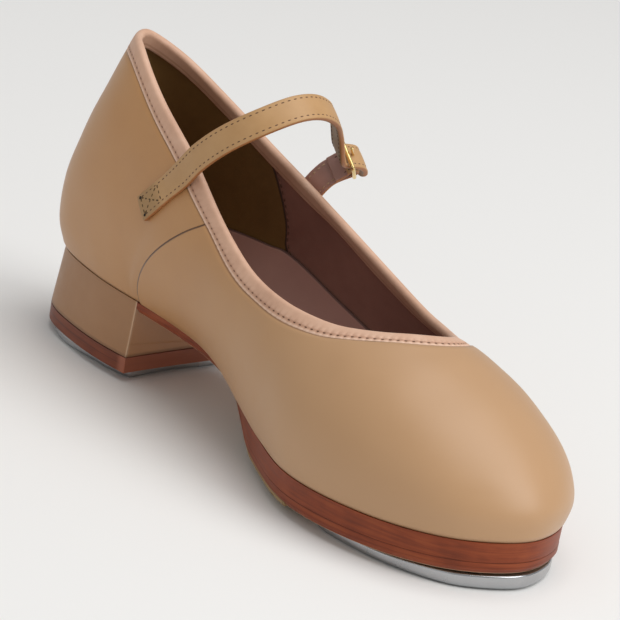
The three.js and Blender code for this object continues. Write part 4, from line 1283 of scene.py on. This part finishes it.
def sewStraps():
    inset = strap["width"] / 2 - strap["stitchInset"]
    start = strap["stitchesFrom"]
    rows = [(inset, start, -8 * mm), (-inset, start, -8 * mm)]
    sewBand("strap_stitches", instepLine, strap["thickness"], rows, (1, -1), threadDark)
    rows = [(inset, start, -3 * mm), (-inset, start, -3 * mm)]
    sewBand("short_stitches", shortLine, strap["loopThickness"], rows, (-1,), threadLight)
    sewBand("short_face_stitches", shortLine, strap["loopThickness"], rows, (1,), threadDark)
    # the sewn ends: a box with a cross in it
    box = strap["boxLength"]
    bm = bmesh.new()
    for line, thickness in ((instepLine, strap["thickness"]),
                            (shortLine, strap["loopThickness"])):
        lift = thickness / 2 + strap["crown"]
        for points, face in (acrossBand(line, start, inset, lift),
                             acrossBand(line, box, inset, lift),
                             along(line, (-inset, inset), start, box, lift),
                             along(line, (inset, -inset), start, box, lift)):
            addStitches(bm, alongLine(points, face, 2 * mm), 1.65 * mm, 0.75 * mm, 0.6 * mm)
    addPiece("box_stitches", bm, threadOlive)
    bm = bmesh.new()
    for side in (-1, 1):
        points, face = along(instepLine, side * inset, 1.4 * mm, 1.5 * mm, lift)
        thicker = strap["thickness"] - strap["loopThickness"]
        points = points + face * (thicker - strap["crown"]) / 2
        addStitches(bm, ((points[0],), (unit(points[-1] - points[0]),), (face[0],)),
                    1.3 * mm, 1.1 * mm, 0.35 * mm, 0.0)
    addPiece("end_holes", bm, darkHole)


sewStraps()
gold = brushedMetal("buckleMetal", buckle["metal"], 0.22, (300, 300, 300), 0.1).material
for node in ("buckle_frame", "buckle_prong"):
    smoothed(node, gold, 2, degrees=70)
print("strap and buckle made")

room = {
    "floor": paint(236, 235, 233), "floorBelow": -0.03 * mm, "world": 0.4,
}
bm = bmesh.new()
bmesh.ops.create_grid(bm, x_segments=1, y_segments=1, size=6)
mesh = bpy.data.meshes.new("floor")
bm.to_mesh(mesh)
bm.free()
m = Recipe("floorPaper")
m.set(Base_Color=room["floor"], Roughness=0.9)
m.set(Specular_IOR_Level=0.1)
mesh.materials.append(m.material)
floor = bpy.data.objects.new("floor", mesh)
bpy.context.scene.collection.objects.link(floor)
floor.location.z = room["floorBelow"]  # just clear of the taps

world = bpy.data.worlds.new("studio")
world.use_nodes = True
world.node_tree.nodes["Background"].inputs["Color"].default_value = (1, 1, 1, 1)
world.node_tree.nodes["Background"].inputs["Strength"].default_value = room["world"]
bpy.context.scene.world = world
bpy.context.scene.view_settings.view_transform = "Standard"


def softbox(name, place, aim, size, power):
    lamp = bpy.data.lights.new(name, "AREA")
    lamp.shape = "SQUARE"
    lamp.size = size
    lamp.energy = power
    spot = bpy.data.objects.new(name, lamp)
    spot.location = Vector(place)
    spot.rotation_euler = (Vector(aim) - Vector(place)).to_track_quat("-Z", "Y").to_euler()
    bpy.context.scene.collection.objects.link(spot)


softbox("topLight", (0.5, 0.3, 2.4), (0, 0, 0), 2.2, 34)
softbox("keyLight", (1.3, 0.5, 1.0), (0, 0, 0.05), 1.0, 10.5)
softbox("fillLight", (0.4, -1.6, 0.7), (0, 0, 0.05), 1.2, 1.2)

# The photo's camera: its place round the shoe, its roll, and a lens that fills the frame
lens = {
    "place": Vector((733.5, -654.7, 369.4)) * mm,
    "forward": Vector((-0.7073, 0.6314, -0.318)),
    "right": Vector((0.616, 0.7711, 0.1612)),
    "aside": 1.95 / 1804.5, "above": 7.5 / 1804.5,
    "focal": 1804.5 * 1.8 / 620,
}


def makeCamera():
    forward = lens["forward"].normalized()
    right = (lens["right"] - forward * lens["right"].dot(forward)).normalized()
    up = right.cross(forward)
    forward = (forward + right * lens["aside"] + up * lens["above"]).normalized()
    right = (right - forward * right.dot(forward)).normalized()
    up = right.cross(forward)
    data = bpy.data.cameras.new("camera")
    data.sensor_width = 36
    data.lens = 36 * lens["focal"]
    data.clip_start = 0.05
    camera = bpy.data.objects.new("camera", data)
    turn = Matrix((right, up, -forward)).transposed().to_4x4()
    camera.matrix_world = Matrix.Translation(lens["place"]) @ turn
    bpy.context.scene.collection.objects.link(camera)
    bpy.context.scene.camera = camera


makeCamera()
print("stage set")
